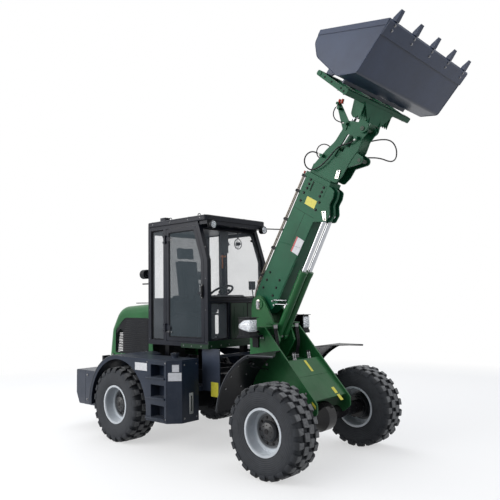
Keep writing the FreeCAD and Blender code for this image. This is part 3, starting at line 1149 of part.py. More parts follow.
# ---- the whole machine ----
def build():
    nodes = {}
    for name, side, end in (("front_right", -1, WHEELBASE), ("front_left", 1, WHEELBASE),
                            ("rear_right", -1, 0.0),
                            ("rear_left", 1, 0.0)):
        tyre, rim = wheel(side, end)
        nodes[name + "_tyre"] = tyre
        nodes[name + "_rim"] = rim
    nodes["rear_axle"] = axle(0.0)
    nodes["front_axle"] = axle(WHEELBASE)
    nodes["rear_chassis"] = rear_chassis()
    nodes["counterweight"] = counterweight()
    nodes["engine_block"] = engine_block()
    nodes["engine_hood"] = hood()
    nodes["hood_grilles"] = hood_grilles()
    nodes["rear_fenders"] = rear_fenders()
    nodes["fuel_tank_steps"] = side_box(-1)
    nodes["hydraulic_tank_steps"] = side_box(1)
    nodes["side_panels"] = side_panels()
    nodes["cab_frame"] = cab_frame()
    nodes["cab_cowl"] = cab_cowl()
    nodes["cab_roof"] = cab_roof()
    nodes["cab_glass"] = cab_glass()
    nodes["cab_hinges"] = cab_hinges()
    for name, side in (("right", -1), ("left", 1)):
        nodes[name + "_door"] = door(side)
        nodes[name + "_door_glass"] = door_glass(side)
    nodes["seat_base"] = seat_base()
    nodes["seat_cushion"] = seat_cushion()
    nodes["seat_back"] = seat_back()
    nodes["dashboard"] = dashboard()
    nodes["roof_lamps"] = roof_lamps()
    nodes["mirror"] = mirror_left()
    nodes["rear_lamps"] = rear_lamps()
    nodes["front_frame"] = front_frame()
    nodes["front_frame_pins"] = front_frame_pins()
    nodes["front_fenders"] = front_fenders()
    nodes["headlights"] = headlights()
    nodes["boom_outer"] = boom_outer()
    nodes["boom_pipes"] = boom_pipes()
    nodes["boom_inner"] = boom_inner()
    nodes["head_pins"] = head_pins()
    nodes.update(head_hoses())
    nodes["tower_hoses"] = tower_hoses()
    nodes["lift_barrels"], nodes["lift_rods"] = lift_cylinders()
    nodes["tilt_barrel"], nodes["tilt_rod"] = tilt_cylinder()
    for name, side in (("right", -1), ("left", 1)):
        barrel, rod = steering_cylinder(side)
        nodes["steering_barrel_" + name] = barrel
        nodes["steering_rod_" + name] = rod
    nodes["rear_frame_pins"] = rear_frame_pins()
    nodes["hitch_frame"] = hitch_frame()
    nodes["bucket"] = bucket()
    nodes["bucket_teeth"] = bucket_teeth()
    return nodes


def main():
    os.makedirs("parts", exist_ok=True)
    nodes = build()
    low = min(s.BoundBox.XMin for s in nodes.values())
    high = max(s.BoundBox.XMax for s in nodes.values())
    shift = -(low + high) / 2
    print("x shift", round(shift, 3), "length", round(high - low, 1))
    for name, shape in nodes.items():
        shape.translate(vec(shift, 0, 0))
        solids = shape.Solids
        print(name, len(solids), "valid" if shape.isValid() else "INVALID",
              round(sum(s.Volume for s in solids) / 1e6, 2))
        shape.exportStep("parts/" + name + ".step")


main()
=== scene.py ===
"""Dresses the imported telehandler: finishes for its CAD nodes and the fine pieces that ride on its bodies.

Lengths are metres. Places are given in the machine's datum, whose origin lies on the ground under the rear
axle, +X forward and +Y left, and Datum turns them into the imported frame.
"""
from __future__ import annotations

import logging
import math
import random
from dataclasses import dataclass
from enum import Enum
from typing import Callable, Iterable, Optional, Sequence

import bmesh
import bpy
from mathutils import Matrix, Vector

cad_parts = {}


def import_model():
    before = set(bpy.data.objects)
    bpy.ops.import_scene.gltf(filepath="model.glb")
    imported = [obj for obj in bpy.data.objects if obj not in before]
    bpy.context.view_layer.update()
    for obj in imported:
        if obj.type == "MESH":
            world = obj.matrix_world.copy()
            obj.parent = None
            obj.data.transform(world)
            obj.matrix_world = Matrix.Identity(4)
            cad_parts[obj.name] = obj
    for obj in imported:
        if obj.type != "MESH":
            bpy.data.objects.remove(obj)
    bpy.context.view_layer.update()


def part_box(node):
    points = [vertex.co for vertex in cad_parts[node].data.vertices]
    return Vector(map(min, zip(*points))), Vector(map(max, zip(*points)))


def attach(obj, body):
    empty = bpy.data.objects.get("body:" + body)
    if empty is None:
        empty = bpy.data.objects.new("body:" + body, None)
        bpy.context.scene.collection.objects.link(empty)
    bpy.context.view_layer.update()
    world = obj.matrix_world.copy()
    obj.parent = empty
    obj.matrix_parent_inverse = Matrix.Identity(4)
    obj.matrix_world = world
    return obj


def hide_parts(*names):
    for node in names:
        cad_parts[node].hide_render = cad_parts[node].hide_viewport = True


LOG = logging.getLogger("telehandler")
Colour = tuple[float, float, float]
Point = tuple[float, float, float]
Piece = bpy.types.Object

TRACK = 0.970
WHEELBASE = 2.850
AXLE_HEIGHT = 0.5375
PIVOT = (1.980, 1.970)
BOOM_TURN = 59.0
HINGE = (2.687, -0.357)
BUCKET_TURN = 47.3


class Body(str, Enum):
    """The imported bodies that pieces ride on."""

    REAR = "rear_frame"
    FRONT = "front_frame"
    HOOD = "hood"
    RIGHT_DOOR = "right_door"
    LEFT_DOOR = "left_door"
    OUTER_BOOM = "outer_boom"
    INNER_BOOM = "inner_boom"
    BUCKET = "bucket"


class Slot(str, Enum):
    """The record's material slots."""

    GREEN = "green_paint"
    SLATE = "slate_paint"
    BLACK = "black_paint"
    SILVER = "silver_paint"
    TYRE = "tyre_rubber"
    CHROME = "chrome_rod"
    STEEL = "steel_pin"
    GLASS = "cab_glass"
    PLASTIC = "black_plastic"
    FABRIC = "seat_fabric"
    HOSE = "hose_rubber"


class Datum:
    """Frames of the machine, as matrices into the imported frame."""

    shift: float = 0.0

    @classmethod
    def locate(cls) -> None:
        """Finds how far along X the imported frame's origin stands from the rear axle."""
        low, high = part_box("rear_right_tyre")
        cls.shift = (low.x + high.x) / 2

    @classmethod
    def ground(cls) -> Matrix:
        """The frame on the ground under the rear axle."""
        return Matrix.Translation((cls.shift, 0.0, 0.0))

    @classmethod
    def turned(cls, x: float, z: float, degrees: float) -> Matrix:
        """A frame at (x, z) whose first axis points up by so many degrees.

        Args:
            x: Distance ahead of the rear axle.
            z: Height.
            degrees: Turn about the machine's cross axis.

        Returns:
            The frame's matrix.
        """
        return Matrix.Translation((x + cls.shift, 0.0, z)) @ Matrix.Rotation(-math.radians(degrees), 4, "Y")

    @classmethod
    def boom(cls) -> Matrix:
        """The boom's frame: along, across, up from the pivot line."""
        return cls.turned(PIVOT[0], PIVOT[1], BOOM_TURN)

    @classmethod
    def bucket(cls) -> Matrix:
        """The bucket's frame: along its floor from the hinge, across, and away from the floor."""
        turn = math.radians(BOOM_TURN)
        x = PIVOT[0] + HINGE[0] * math.cos(turn) - HINGE[1] * math.sin(turn)
        z = PIVOT[1] + HINGE[0] * math.sin(turn) + HINGE[1] * math.cos(turn)
        return cls.turned(x, z, BUCKET_TURN)

    @classmethod
    def wheel(cls, x: float, side: int) -> Matrix:
        """A wheel's frame: its third axis points out of the machine.

        Args:
            x: The axle's distance ahead of the rear axle.
            side: -1 for the right wheel and +1 for the left.

        Returns:
            The frame's matrix.
        """
        place = Matrix.Translation((x + cls.shift, side * TRACK, AXLE_HEIGHT))
        return place @ Matrix.Rotation(-side * math.pi / 2, 4, "X")


# ---- finishes ----
class Sheet:
    """A material's node sheet, with short calls for the nodes that the finishes share."""

    def __init__(self, name: str) -> None:
        """Starts a material of one principled shader on Object coordinates."""
        self.material = bpy.data.materials.new(name)
        self.material.use_nodes = True
        self.tree = self.material.node_tree
        self.shader = self.tree.nodes["Principled BSDF"]
        self.place = self.node("ShaderNodeTexCoord").outputs["Object"]

    def node(self, kind: str, **settings: object) -> bpy.types.Node:
        """Adds a node and sets its properties."""
        made = self.tree.nodes.new(kind)
        for name, value in settings.items():
            setattr(made, name, value)
        return made

    def feed(self, socket: bpy.types.NodeSocket, value: object) -> None:
        """Links a socket, or sets a plain number or colour on it."""
        if isinstance(value, bpy.types.NodeSocket):
            self.tree.links.new(value, socket)
        elif isinstance(value, tuple) and len(value) == 3 and socket.type == "RGBA":
            socket.default_value = (*value, 1.0)
        else:
            socket.default_value = value

    def stretch(self, scale: Point, offset: Point = (0.0, 0.0, 0.0)) -> bpy.types.NodeSocket:
        """Object coordinates moved by an offset and then scaled."""
        mapping = self.node("ShaderNodeMapping", vector_type="POINT")
        mapping.inputs["Scale"].default_value = scale
        mapping.inputs["Location"].default_value = tuple(o * s for o, s in zip(offset, scale))
        self.feed(mapping.inputs["Vector"], self.place)
        return mapping.outputs["Vector"]

    def noise(self, scale: float, detail: float = 4.0, rough: float = 0.55, where: object = None,
              warp: float = 0.0) -> bpy.types.NodeSocket:
        """Fractal noise, from 0 to 1."""
        made = self.node("ShaderNodeTexNoise")
        self.feed(made.inputs["Vector"], where if where is not None else self.place)
        for name, value in (("Scale", scale), ("Detail", detail), ("Roughness", rough), ("Distortion", warp)):
            made.inputs[name].default_value = value
        return made.outputs["Fac"]

    def cells(self, scale: float, where: object = None, feature: str = "F1") -> bpy.types.NodeSocket:
        """Distance to the nearest cell's centre or edge."""
        made = self.node("ShaderNodeTexVoronoi", feature=feature)
        self.feed(made.inputs["Vector"], where if where is not None else self.place)
        made.inputs["Scale"].default_value = scale
        return made.outputs["Distance"]

    def span(self, source: object, low: float, high: float, start: float = 0.0,
             end: float = 1.0) -> bpy.types.NodeSocket:
        """Maps low..high to start..end, held at both ends."""
        made = self.node("ShaderNodeMapRange", clamp=True)
        for name, value in (("Value", source), ("From Min", low), ("From Max", high), ("To Min", start),
                            ("To Max", end)):
            self.feed(made.inputs[name], value)
        return made.outputs["Result"]

    def maths(self, operation: str, first: object, second: object = 0.0) -> bpy.types.NodeSocket:
        """One arithmetic step."""
        made = self.node("ShaderNodeMath", operation=operation)
        self.feed(made.inputs[0], first)
        self.feed(made.inputs[1], second)
        return made.outputs[0]

    def mix(self, amount: object, first: object, second: object) -> bpy.types.NodeSocket:
        """Mixes two colours."""
        made = self.node("ShaderNodeMix", data_type="RGBA")
        self.feed(made.inputs["Factor"], amount)
        self.feed(made.inputs["A"], first)
        self.feed(made.inputs["B"], second)
        return made.outputs["Result"]

    def axis(self, index: int) -> bpy.types.NodeSocket:
        """One coordinate of the place."""
        made = self.node("ShaderNodeSeparateXYZ")
        self.feed(made.inputs[0], self.place)
        return made.outputs[index]

    def upward(self) -> bpy.types.NodeSocket:
        """How much a face looks up, from -1 to 1."""
        made = self.node("ShaderNodeSeparateXYZ")
        self.feed(made.inputs[0], self.node("ShaderNodeNewGeometry").outputs["Normal"])
        return made.outputs[2]

    def edges(self, radius: float) -> bpy.types.NodeSocket:
        """Marks convex and concave edges, 0 on flats and up to 1 at an edge."""
        rounded = self.node("ShaderNodeBevel", samples=4)
        rounded.inputs["Radius"].default_value = radius
        product = self.node("ShaderNodeVectorMath", operation="DOT_PRODUCT")
        self.feed(product.inputs[0], rounded.outputs["Normal"])
        self.feed(product.inputs[1], self.node("ShaderNodeNewGeometry").outputs["Normal"])
        return self.span(product.outputs["Value"], 0.985, 0.80)

    def bump(self, height: object, strength: float, distance: float = 0.002,
             normal: object = None) -> bpy.types.NodeSocket:
        """Turns a height into a shading normal."""
        made = self.node("ShaderNodeBump")
        made.inputs["Strength"].default_value = strength
        made.inputs["Distance"].default_value = distance
        self.feed(made.inputs["Height"], height)
        if normal is not None:
            self.feed(made.inputs["Normal"], normal)
        return made.outputs["Normal"]

    def shade(self, **inputs: object) -> bpy.types.Material:
        """Feeds the shader's sockets, named with underscores, and returns the material."""
        for name, value in inputs.items():
            self.feed(self.shader.inputs[name.replace("_", " ").title().replace("Ior", "IOR")], value)
        return self.material


@dataclass(frozen=True)
class Paint:
    """Sprayed enamel with fine orange peel, dust on what looks up, and edges worn lighter."""

    name: str
    colour: Colour
    worn: Colour
    rough: float = 0.36
    coat: float = 0.25
    dust: float = 0.22
    wear: float = 0.35
    scratches: float = 0.25
    gloss: float = 0.40

    def make(self) -> bpy.types.Material:
        """Builds the material."""
        sheet = Sheet(self.name)
        tone = tuple(min(1.0, c * 1.28 + 0.004) for c in self.colour)
        shade = tuple(c * 0.78 for c in self.colour)
        clouds = sheet.noise(1.7, 5.0, 0.6)
        base = sheet.mix(sheet.span(clouds, 0.32, 0.7), shade, tone)
        fine = sheet.noise(140.0, 2.0)
        streaks = sheet.noise(9.0, 6.0, 0.7, sheet.stretch((3.0, 3.0, 0.35)), 0.4)
        grime = sheet.maths("MULTIPLY", sheet.span(streaks, 0.56, 0.78), 0.30)
        base = sheet.mix(grime, base, (0.05, 0.048, 0.042))
        settle = sheet.maths("MULTIPLY", sheet.span(sheet.upward(), 0.35, 0.95), self.dust)
        settle = sheet.maths("MULTIPLY", settle, sheet.span(sheet.noise(6.0, 6.0, 0.65), 0.3, 0.72))
        base = sheet.mix(settle, base, (0.27, 0.26, 0.23))
        low = sheet.maths("MULTIPLY", sheet.span(sheet.axis(2), 1.15, 0.35), sheet.span(clouds, 0.35, 0.75))
        base = sheet.mix(sheet.maths("MULTIPLY", low, self.dust * 1.1), base, (0.17, 0.155, 0.13))
        rubbed = sheet.maths("MULTIPLY", sheet.edges(0.004), sheet.span(sheet.noise(26.0, 5.0, 0.7), 0.42,
            0.62))
        rubbed = sheet.maths("MULTIPLY", rubbed, self.wear)
        marks = sheet.noise(210.0, 3.0, 0.8, sheet.stretch((1.0, 1.0, 0.06)), 1.6)
        marks = sheet.maths("MULTIPLY", sheet.span(marks, 0.73, 0.76), sheet.span(clouds, 0.5, 0.62))
        bare = sheet.maths("MAXIMUM", rubbed, sheet.maths("MULTIPLY", marks, self.scratches))
        colour = sheet.mix(bare, base, self.worn)
        rough = sheet.maths("ADD", sheet.span(fine, 0.3, 0.7, self.rough - 0.04, self.rough + 0.06),
            sheet.maths("MULTIPLY", settle, 0.9))
        height = sheet.maths("ADD", sheet.maths("MULTIPLY", sheet.noise(420.0, 2.0), 0.6), clouds)
        return sheet.shade(base_color=colour, roughness=rough, coat_weight=self.coat, coat_roughness=0.12,
            specular_ior_level=self.gloss, normal=sheet.bump(height, 0.10, 0.0008))


@dataclass(frozen=True)
class Metal:
    """Bare or plated metal with turning marks and a little staining."""

    name: str
    colour: Colour
    rough: float = 0.22
    stain: float = 0.25
    brushed: Point = (1.0, 1.0, 1.0)

    def make(self) -> bpy.types.Material:
        """Builds the material."""
        sheet = Sheet(self.name)
        dull = tuple(c * 0.55 for c in self.colour)
        blot = sheet.maths("MULTIPLY", sheet.span(sheet.noise(14.0, 6.0, 0.65), 0.48, 0.74), self.stain)
        lines = sheet.noise(90.0, 3.0, 0.6, sheet.stretch(self.brushed))
        rough = sheet.maths("ADD", sheet.span(lines, 0.3, 0.7, self.rough * 0.75, self.rough * 1.3),
            sheet.maths("MULTIPLY", blot, 0.5))
        return sheet.shade(base_color=sheet.mix(blot, self.colour, dull), metallic=1.0, roughness=rough,
            normal=sheet.bump(lines, 0.06, 0.0006))


@dataclass(frozen=True)
class Tyre:
    """Tyre rubber: dark walls with dust, mould-line rings painted lighter as a highlight, painted shade between
    the tread blocks, and tread tops scuffed grey.
    """

    name: str
    x: float
    side: int

    def make(self) -> bpy.types.Material:
        """Builds the material about one wheel's axle."""
        sheet = Sheet(self.name)
        centred = sheet.stretch((1.0, 0.0, 1.0), (-(self.x + Datum.shift), 0.0, -AXLE_HEIGHT))
        reach = sheet.node("ShaderNodeVectorMath", operation="LENGTH")
        sheet.feed(reach.inputs[0], centred)
        radius = reach.outputs["Value"]
        tread = sheet.maths("MULTIPLY", sheet.span(radius, 0.524, 0.533),
            sheet.span(sheet.noise(30, 5, 0.7), 0.2, 0.6))
        dust_and_shade = sheet.span(sheet.noise(11.0, 6.0, 0.65), 0.34, 0.72)
        wall = sheet.mix(dust_and_shade, (0.012, 0.014, 0.018), (0.036, 0.040, 0.047))
        ribs = sheet.maths("SINE", sheet.maths("MULTIPLY", radius, 2 * math.pi / 0.021))
        ribs = sheet.maths("MULTIPLY", sheet.span(ribs, 0.55, 0.95), sheet.span(radius, 0.47, 0.40))
        # painted highlight: the mould-line rings are mixed towards a lighter grey; the same rings also feed the
        # bump
        wall = sheet.mix(sheet.maths("MULTIPLY", ribs, 0.35), wall, (0.10, 0.10, 0.105))
        groove = sheet.span(radius, 0.519, 0.500)
        # painted shade: the rubber is darkened towards the tread, in the grooves between the blocks
        wall = sheet.mix(sheet.maths("MULTIPLY", sheet.span(radius, 0.485, 0.512), 0.55), wall,
            (0.012, 0.013, 0.015))
        colour = sheet.mix(sheet.maths("MULTIPLY", tread, 0.85), wall, (0.185, 0.188, 0.192))
        grain = sheet.noise(260.0, 3.0, 0.6)
        height = sheet.maths("ADD", sheet.maths("MULTIPLY", grain, 0.4), sheet.maths("MULTIPLY", ribs, 0.9))
        rough = sheet.span(sheet.maths("ADD", dust_and_shade, groove), 0.0, 2.0, 0.56, 0.88)
        return sheet.shade(base_color=colour, roughness=rough, specular_ior_level=0.38,
            normal=sheet.bump(height, 0.30, 0.002))


@dataclass(frozen=True)
class Rim:
    """Silver wheel rim with a black hub, painted shade darkening the deep dish, and edges chipped lighter."""

    name: str
    x: float
    side: int

    def make(self) -> bpy.types.Material:
        """Builds the material about one wheel's axle."""
        sheet = Sheet(self.name)
        centred = sheet.stretch((1.0, 0.0, 1.0), (-(self.x + Datum.shift), 0.0, -AXLE_HEIGHT))
        reach = sheet.node("ShaderNodeVectorMath", operation="LENGTH")
        sheet.feed(reach.inputs[0], centred)
        radius = reach.outputs["Value"]
        clouds = sheet.noise(8.0, 6.0, 0.65)
        silver = sheet.mix(sheet.span(clouds, 0.3, 0.7), (0.48, 0.52, 0.56), (0.60, 0.63, 0.66))
        # painted shade: the deep dish inside the silver ring is darkened nearly to black
        dust_and_shade = sheet.maths("MULTIPLY", sheet.span(radius, 0.212, 0.190),
            sheet.span(clouds, 0.25, 0.7, 0.84, 0.97))
        silver = sheet.mix(dust_and_shade, silver, (0.024, 0.026, 0.030))
        black = sheet.mix(sheet.span(clouds, 0.4, 0.75), (0.006, 0.007, 0.009), (0.026, 0.027, 0.030))
        colour = sheet.mix(sheet.span(radius, 0.1745, 0.1715), silver, black)
        chips = sheet.maths("MULTIPLY", sheet.edges(0.003), sheet.span(sheet.noise(40.0, 4.0, 0.7), 0.5, 0.62,
            0.0, 0.6))
        colour = sheet.mix(chips, colour, (0.20, 0.19, 0.18))
        rough = sheet.span(clouds, 0.3, 0.7, 0.30, 0.48)
        return sheet.shade(base_color=colour, roughness=rough, metallic=0.15, coat_weight=0.2,
            normal=sheet.bump(sheet.noise(200.0), 0.06, 0.0006))


@dataclass(frozen=True)
class Moulded:
    """Moulded plastic or rubber with a fine grain and pale scuffs."""

    name: str
    colour: Colour
    rough: float = 0.52
    grain: float = 320.0
    scuff: float = 0.2

    def make(self) -> bpy.types.Material:
        """Builds the material."""
        sheet = Sheet(self.name)
        pale = tuple(c * 1.9 + 0.03 for c in self.colour)
        rub = sheet.span(sheet.noise(17.0, 6.0, 0.7), 0.52, 0.74)
        worn = sheet.maths("MULTIPLY", sheet.maths("ADD", sheet.edges(0.003), rub), self.scuff)
        colour = sheet.mix(worn, self.colour, pale)
        grain = sheet.cells(self.grain)
        return sheet.shade(base_color=colour, roughness=sheet.span(rub, 0.0, 1.0, self.rough,
            self.rough + 0.15), specular_ior_level=0.20, normal=sheet.bump(grain, 0.16, 0.0007))


@dataclass(frozen=True)
class Glazing:
    """Toughened pane: tinted, glossy, with a faint film of dust towards its lower edge."""

    name: str
    tint: Colour
    cover: float
    low: float
    high: float

    def make(self) -> bpy.types.Material:
        """Builds the material."""
        sheet = Sheet(self.name)
        rise = sheet.span(sheet.axis(2), self.low, self.high)
        film = sheet.span(sheet.noise(2.2, 2.0, 0.5, None, 0.3), 0.35, 0.75)
        film = sheet.maths("MULTIPLY", film, sheet.span(rise, 0.0, 0.9, 0.07, 0.03))
        colour = sheet.mix(film, self.tint, (0.34, 0.37, 0.40))
        alpha = sheet.maths("ADD", sheet.maths("MULTIPLY", film, 0.8), self.cover)
        rough = sheet.span(film, 0.0, 0.2, 0.03, 0.12)
        sheet.material.surface_render_method = "BLENDED"
        return sheet.shade(base_color=colour, roughness=rough, alpha=alpha, specular_ior_level=0.0)


@dataclass(frozen=True)
class Upholstery:
    """Woven seat cloth: fine over-and-under threads, soft sheen and rubbed places."""

    name: str
    colour: Colour
    pitch: float = 0.0032

    def make(self) -> bpy.types.Material:
        """Builds the material."""
        sheet = Sheet(self.name)
        turns = 2 * math.pi / self.pitch
        across = sheet.maths("SINE", sheet.maths("MULTIPLY", sheet.axis(1), turns))
        along = sheet.maths("SINE", sheet.maths("MULTIPLY", sheet.maths("ADD", sheet.axis(0), sheet.axis(2)),
            turns))
        weave = sheet.maths("MULTIPLY", across, along)
        rub = sheet.span(sheet.noise(7.0, 5.0, 0.6), 0.4, 0.75)
        dark = tuple(c * 0.62 for c in self.colour)
        light = tuple(min(1.0, c * 1.25) for c in self.colour)
        base = sheet.mix(sheet.span(weave, -0.8, 0.8), dark, self.colour)
        colour = sheet.mix(sheet.maths("MULTIPLY", rub, 0.5), base, light)
        return sheet.shade(base_color=colour, roughness=0.86, sheen_weight=0.25, sheen_roughness=0.5,
            specular_ior_level=0.25, normal=sheet.bump(weave, 0.35, 0.0009))


@dataclass(frozen=True)
class Decal:
    """Printed film, blank but for plain bands, slightly faded and scuffed."""

    name: str
    colour: Colour
    band: Optional[Colour] = None
    edge: float = 0.0
    axis: int = 2

    def make(self) -> bpy.types.Material:
        """Builds the material."""
        sheet = Sheet(self.name)
        faded = tuple(c * 0.82 for c in self.colour)
        film = sheet.mix(sheet.span(sheet.noise(28.0, 5.0, 0.65), 0.38, 0.72), self.colour, faded)
        if self.band is not None:
            film = sheet.mix(sheet.span(sheet.axis(self.axis), self.edge, self.edge + 0.001), film, self.band)
        scuff = sheet.span(sheet.noise(160.0, 4.0, 0.8), 0.64, 0.70, 0.0, 0.35)
        return sheet.shade(base_color=sheet.mix(scuff, film, (0.10, 0.10, 0.09)), roughness=0.42,
            normal=sheet.bump(sheet.noise(300.0), 0.05, 0.0004))


@dataclass(frozen=True)
class Reflector:
    """Bright faceted lamp bowl behind its lens."""

    name: str

    def make(self) -> bpy.types.Material:
        """Builds the material."""
        sheet = Sheet(self.name)
        facets = sheet.cells(75.0)
        colour = sheet.mix(sheet.span(facets, 0.1, 0.6), (0.95, 0.96, 0.98), (0.35, 0.37, 0.40))
        return sheet.shade(base_color=colour, metallic=0.75, roughness=0.16,
            normal=sheet.bump(facets, 0.9, 0.006))


@dataclass(frozen=True)
class Braid:
    """Hydraulic hose cover: rubber with a faint wrapped texture."""

    name: str

    def make(self) -> bpy.types.Material:
        """Builds the material."""
        sheet = Sheet(self.name)
        wrap = sheet.noise(190.0, 2.0, 0.5)
        dust = sheet.span(sheet.noise(24.0, 5.0, 0.6), 0.45, 0.75)
        colour = sheet.mix(dust, (0.002, 0.002, 0.004), (0.007, 0.007, 0.010))
        return sheet.shade(base_color=colour, roughness=sheet.span(dust, 0.0, 1.0, 0.42, 0.62),
            specular_ior_level=0.20, normal=sheet.bump(wrap, 0.25, 0.0012))


class Palette:
    """Every finish of the machine, each made once when it is first asked for."""

    def __init__(self) -> None:
        """Lists the finishes by name."""
        self.made: dict[str, bpy.types.Material] = {}
        finishes = [ Paint("green_enamel", (0.014, 0.104, 0.031), (0.14, 0.22, 0.16), 0.30, 0.08, 0.16, 0.40,
            0.2, 0.18), Paint("boom_enamel", (0.008, 0.092, 0.044), (0.11, 0.20, 0.15), 0.34, 0.04, 0.06, 0.28,
            0.08, 0.12), Paint("deep_green_enamel", (0.004, 0.028, 0.011), (0.08, 0.13, 0.10), 0.30, 0.08, 0.12,
            0.30, 0.2, 0.18), Moulded("dark_bolt", (0.004, 0.010, 0.008), 0.42, 300.0, 0.10),
            Moulded("shadow_black", (0.003, 0.005, 0.004), 0.70, 200.0, 0.05),
            Paint("bucket_enamel", (0.030, 0.046, 0.092), (0.22, 0.24, 0.27), 0.34, 0.10, 0.18, 0.45, 0.2,
            0.22), Paint("slate_enamel", (0.031, 0.040, 0.062), (0.22, 0.24, 0.27), 0.34, 0.10, 0.18, 0.45, 0.2,
            0.22), Paint("dark_slate_enamel", (0.012, 0.020, 0.038), (0.16, 0.18, 0.21), 0.30, 0.08, 0.16, 0.40,
            0.2, 0.18), Paint("black_enamel", (0.003, 0.004, 0.007), (0.10, 0.11, 0.13), 0.32, 0.03, 0.08, 0.30,
            0.12, 0.13), Paint("cab_enamel", (0.006, 0.008, 0.015), (0.12, 0.13, 0.15), 0.36, 0.03, 0.10, 0.28,
            0.15, 0.15), Paint("rim_enamel", (0.46, 0.48, 0.50), (0.24, 0.24, 0.24), 0.34, 0.20, 0.25, 0.30),
            Paint("axle_enamel", (0.002, 0.002, 0.004), (0.07, 0.07, 0.08), 0.14, 0.10, 0.08, 0.20, 0.15, 0.22),
            Metal("polished_chrome", (0.44, 0.45, 0.47), 0.10, 0.10, (1.0, 30.0, 1.0)),
            Metal("zinc_plate", (0.46, 0.46, 0.44), 0.30, 0.35), Metal("pin_steel", (0.22, 0.22, 0.23), 0.34,
            0.45), Metal("keeper_zinc", (0.74, 0.72, 0.64), 0.38, 0.20),
            Metal("bronze_pipe", (0.17, 0.145, 0.12), 0.30, 0.35), Moulded("cast_iron", (0.020, 0.022, 0.024),
            0.62, 150.0, 0.25), Moulded("black_plastic", (0.005, 0.006, 0.008), 0.50, 420.0, 0.07),
            Moulded("grey_plastic", (0.075, 0.080, 0.088), 0.50, 380.0, 0.12),
            Moulded("pale_plastic", (0.42, 0.43, 0.42), 0.48, 380.0, 0.12),
            Moulded("red_plastic", (0.40, 0.045, 0.022), 0.42, 380.0, 0.18),
            Moulded("orange_plastic", (0.55, 0.16, 0.030), 0.42, 380.0, 0.15),
            Moulded("seal_rubber", (0.004, 0.004, 0.006), 0.60, 500.0, 0.10),
            Moulded("floor_mat", (0.012, 0.013, 0.014), 0.75, 120.0, 0.18),
            # painted shade: a darker, less see-through copy of the clear glass, for the right door's pane only
            Glazing("shaded_door_glass", (0.070, 0.088, 0.100), 0.54, 1.45, 3.1),
            Glazing("clear_glass", (0.42, 0.46, 0.50), 0.10, 1.45, 3.1),
            Glazing("lens_glass", (0.80, 0.84, 0.88), 0.12, 0.0, 5.0),
            Glazing("red_lens", (0.42, 0.020, 0.014), 0.85, 0.0, 5.0),
            Glazing("amber_lens", (0.60, 0.20, 0.016), 0.85, 0.0, 5.0),
            Metal("mirror_silver", (0.80, 0.82, 0.84), 0.03, 0.05), Upholstery("seat_cloth",
            (0.055, 0.062, 0.070)), Upholstery("headrest_cloth", (0.17, 0.21, 0.23)),
            Moulded("seat_piping", (0.012, 0.013, 0.015), 0.50, 300.0, 0.10),
            Decal("yellow_film", (0.70, 0.64, 0.060)), Decal("white_film", (0.66, 0.67, 0.70)),
            Decal("red_film", (0.50, 0.07, 0.07)), Reflector("lamp_bowl"), Braid("hose_cover"), ]
        self.finishes = {f.name: f for f in finishes}

    def get(self, name: str) -> bpy.types.Material:
        """The named material."""
        if name not in self.made:
            self.made[name] = self.finishes[name].make()
        return self.made[name]

    def dress(self, piece: Piece, name: str) -> Piece:
        """Gives a piece one finish in place of what it has."""
        piece.data.materials.clear()
        piece.data.materials.append(self.get(name))
        return piece


# ---- the bench where pieces are modelled ----
def face(axis: str, level: float, low: tuple[float, float], high: tuple[float, float]) -> list[Point]:
    """The four corners of a rectangle across an axis, as points in space.

    Args:
        axis: Letter of the axis that the rectangle stands across.
        level: Where it stands on that axis.
        low: Its first corner, in the two other axes in order.
        high: The corner across from it.

    Returns:
        The corners, in order round the rectangle.
    """
    pairs = (low, (high[0], low[1]), high, (low[0], high[1]))
    index = "xyz".index(axis)
    return [pair[:index] + (level,) + pair[index:] for pair in pairs]


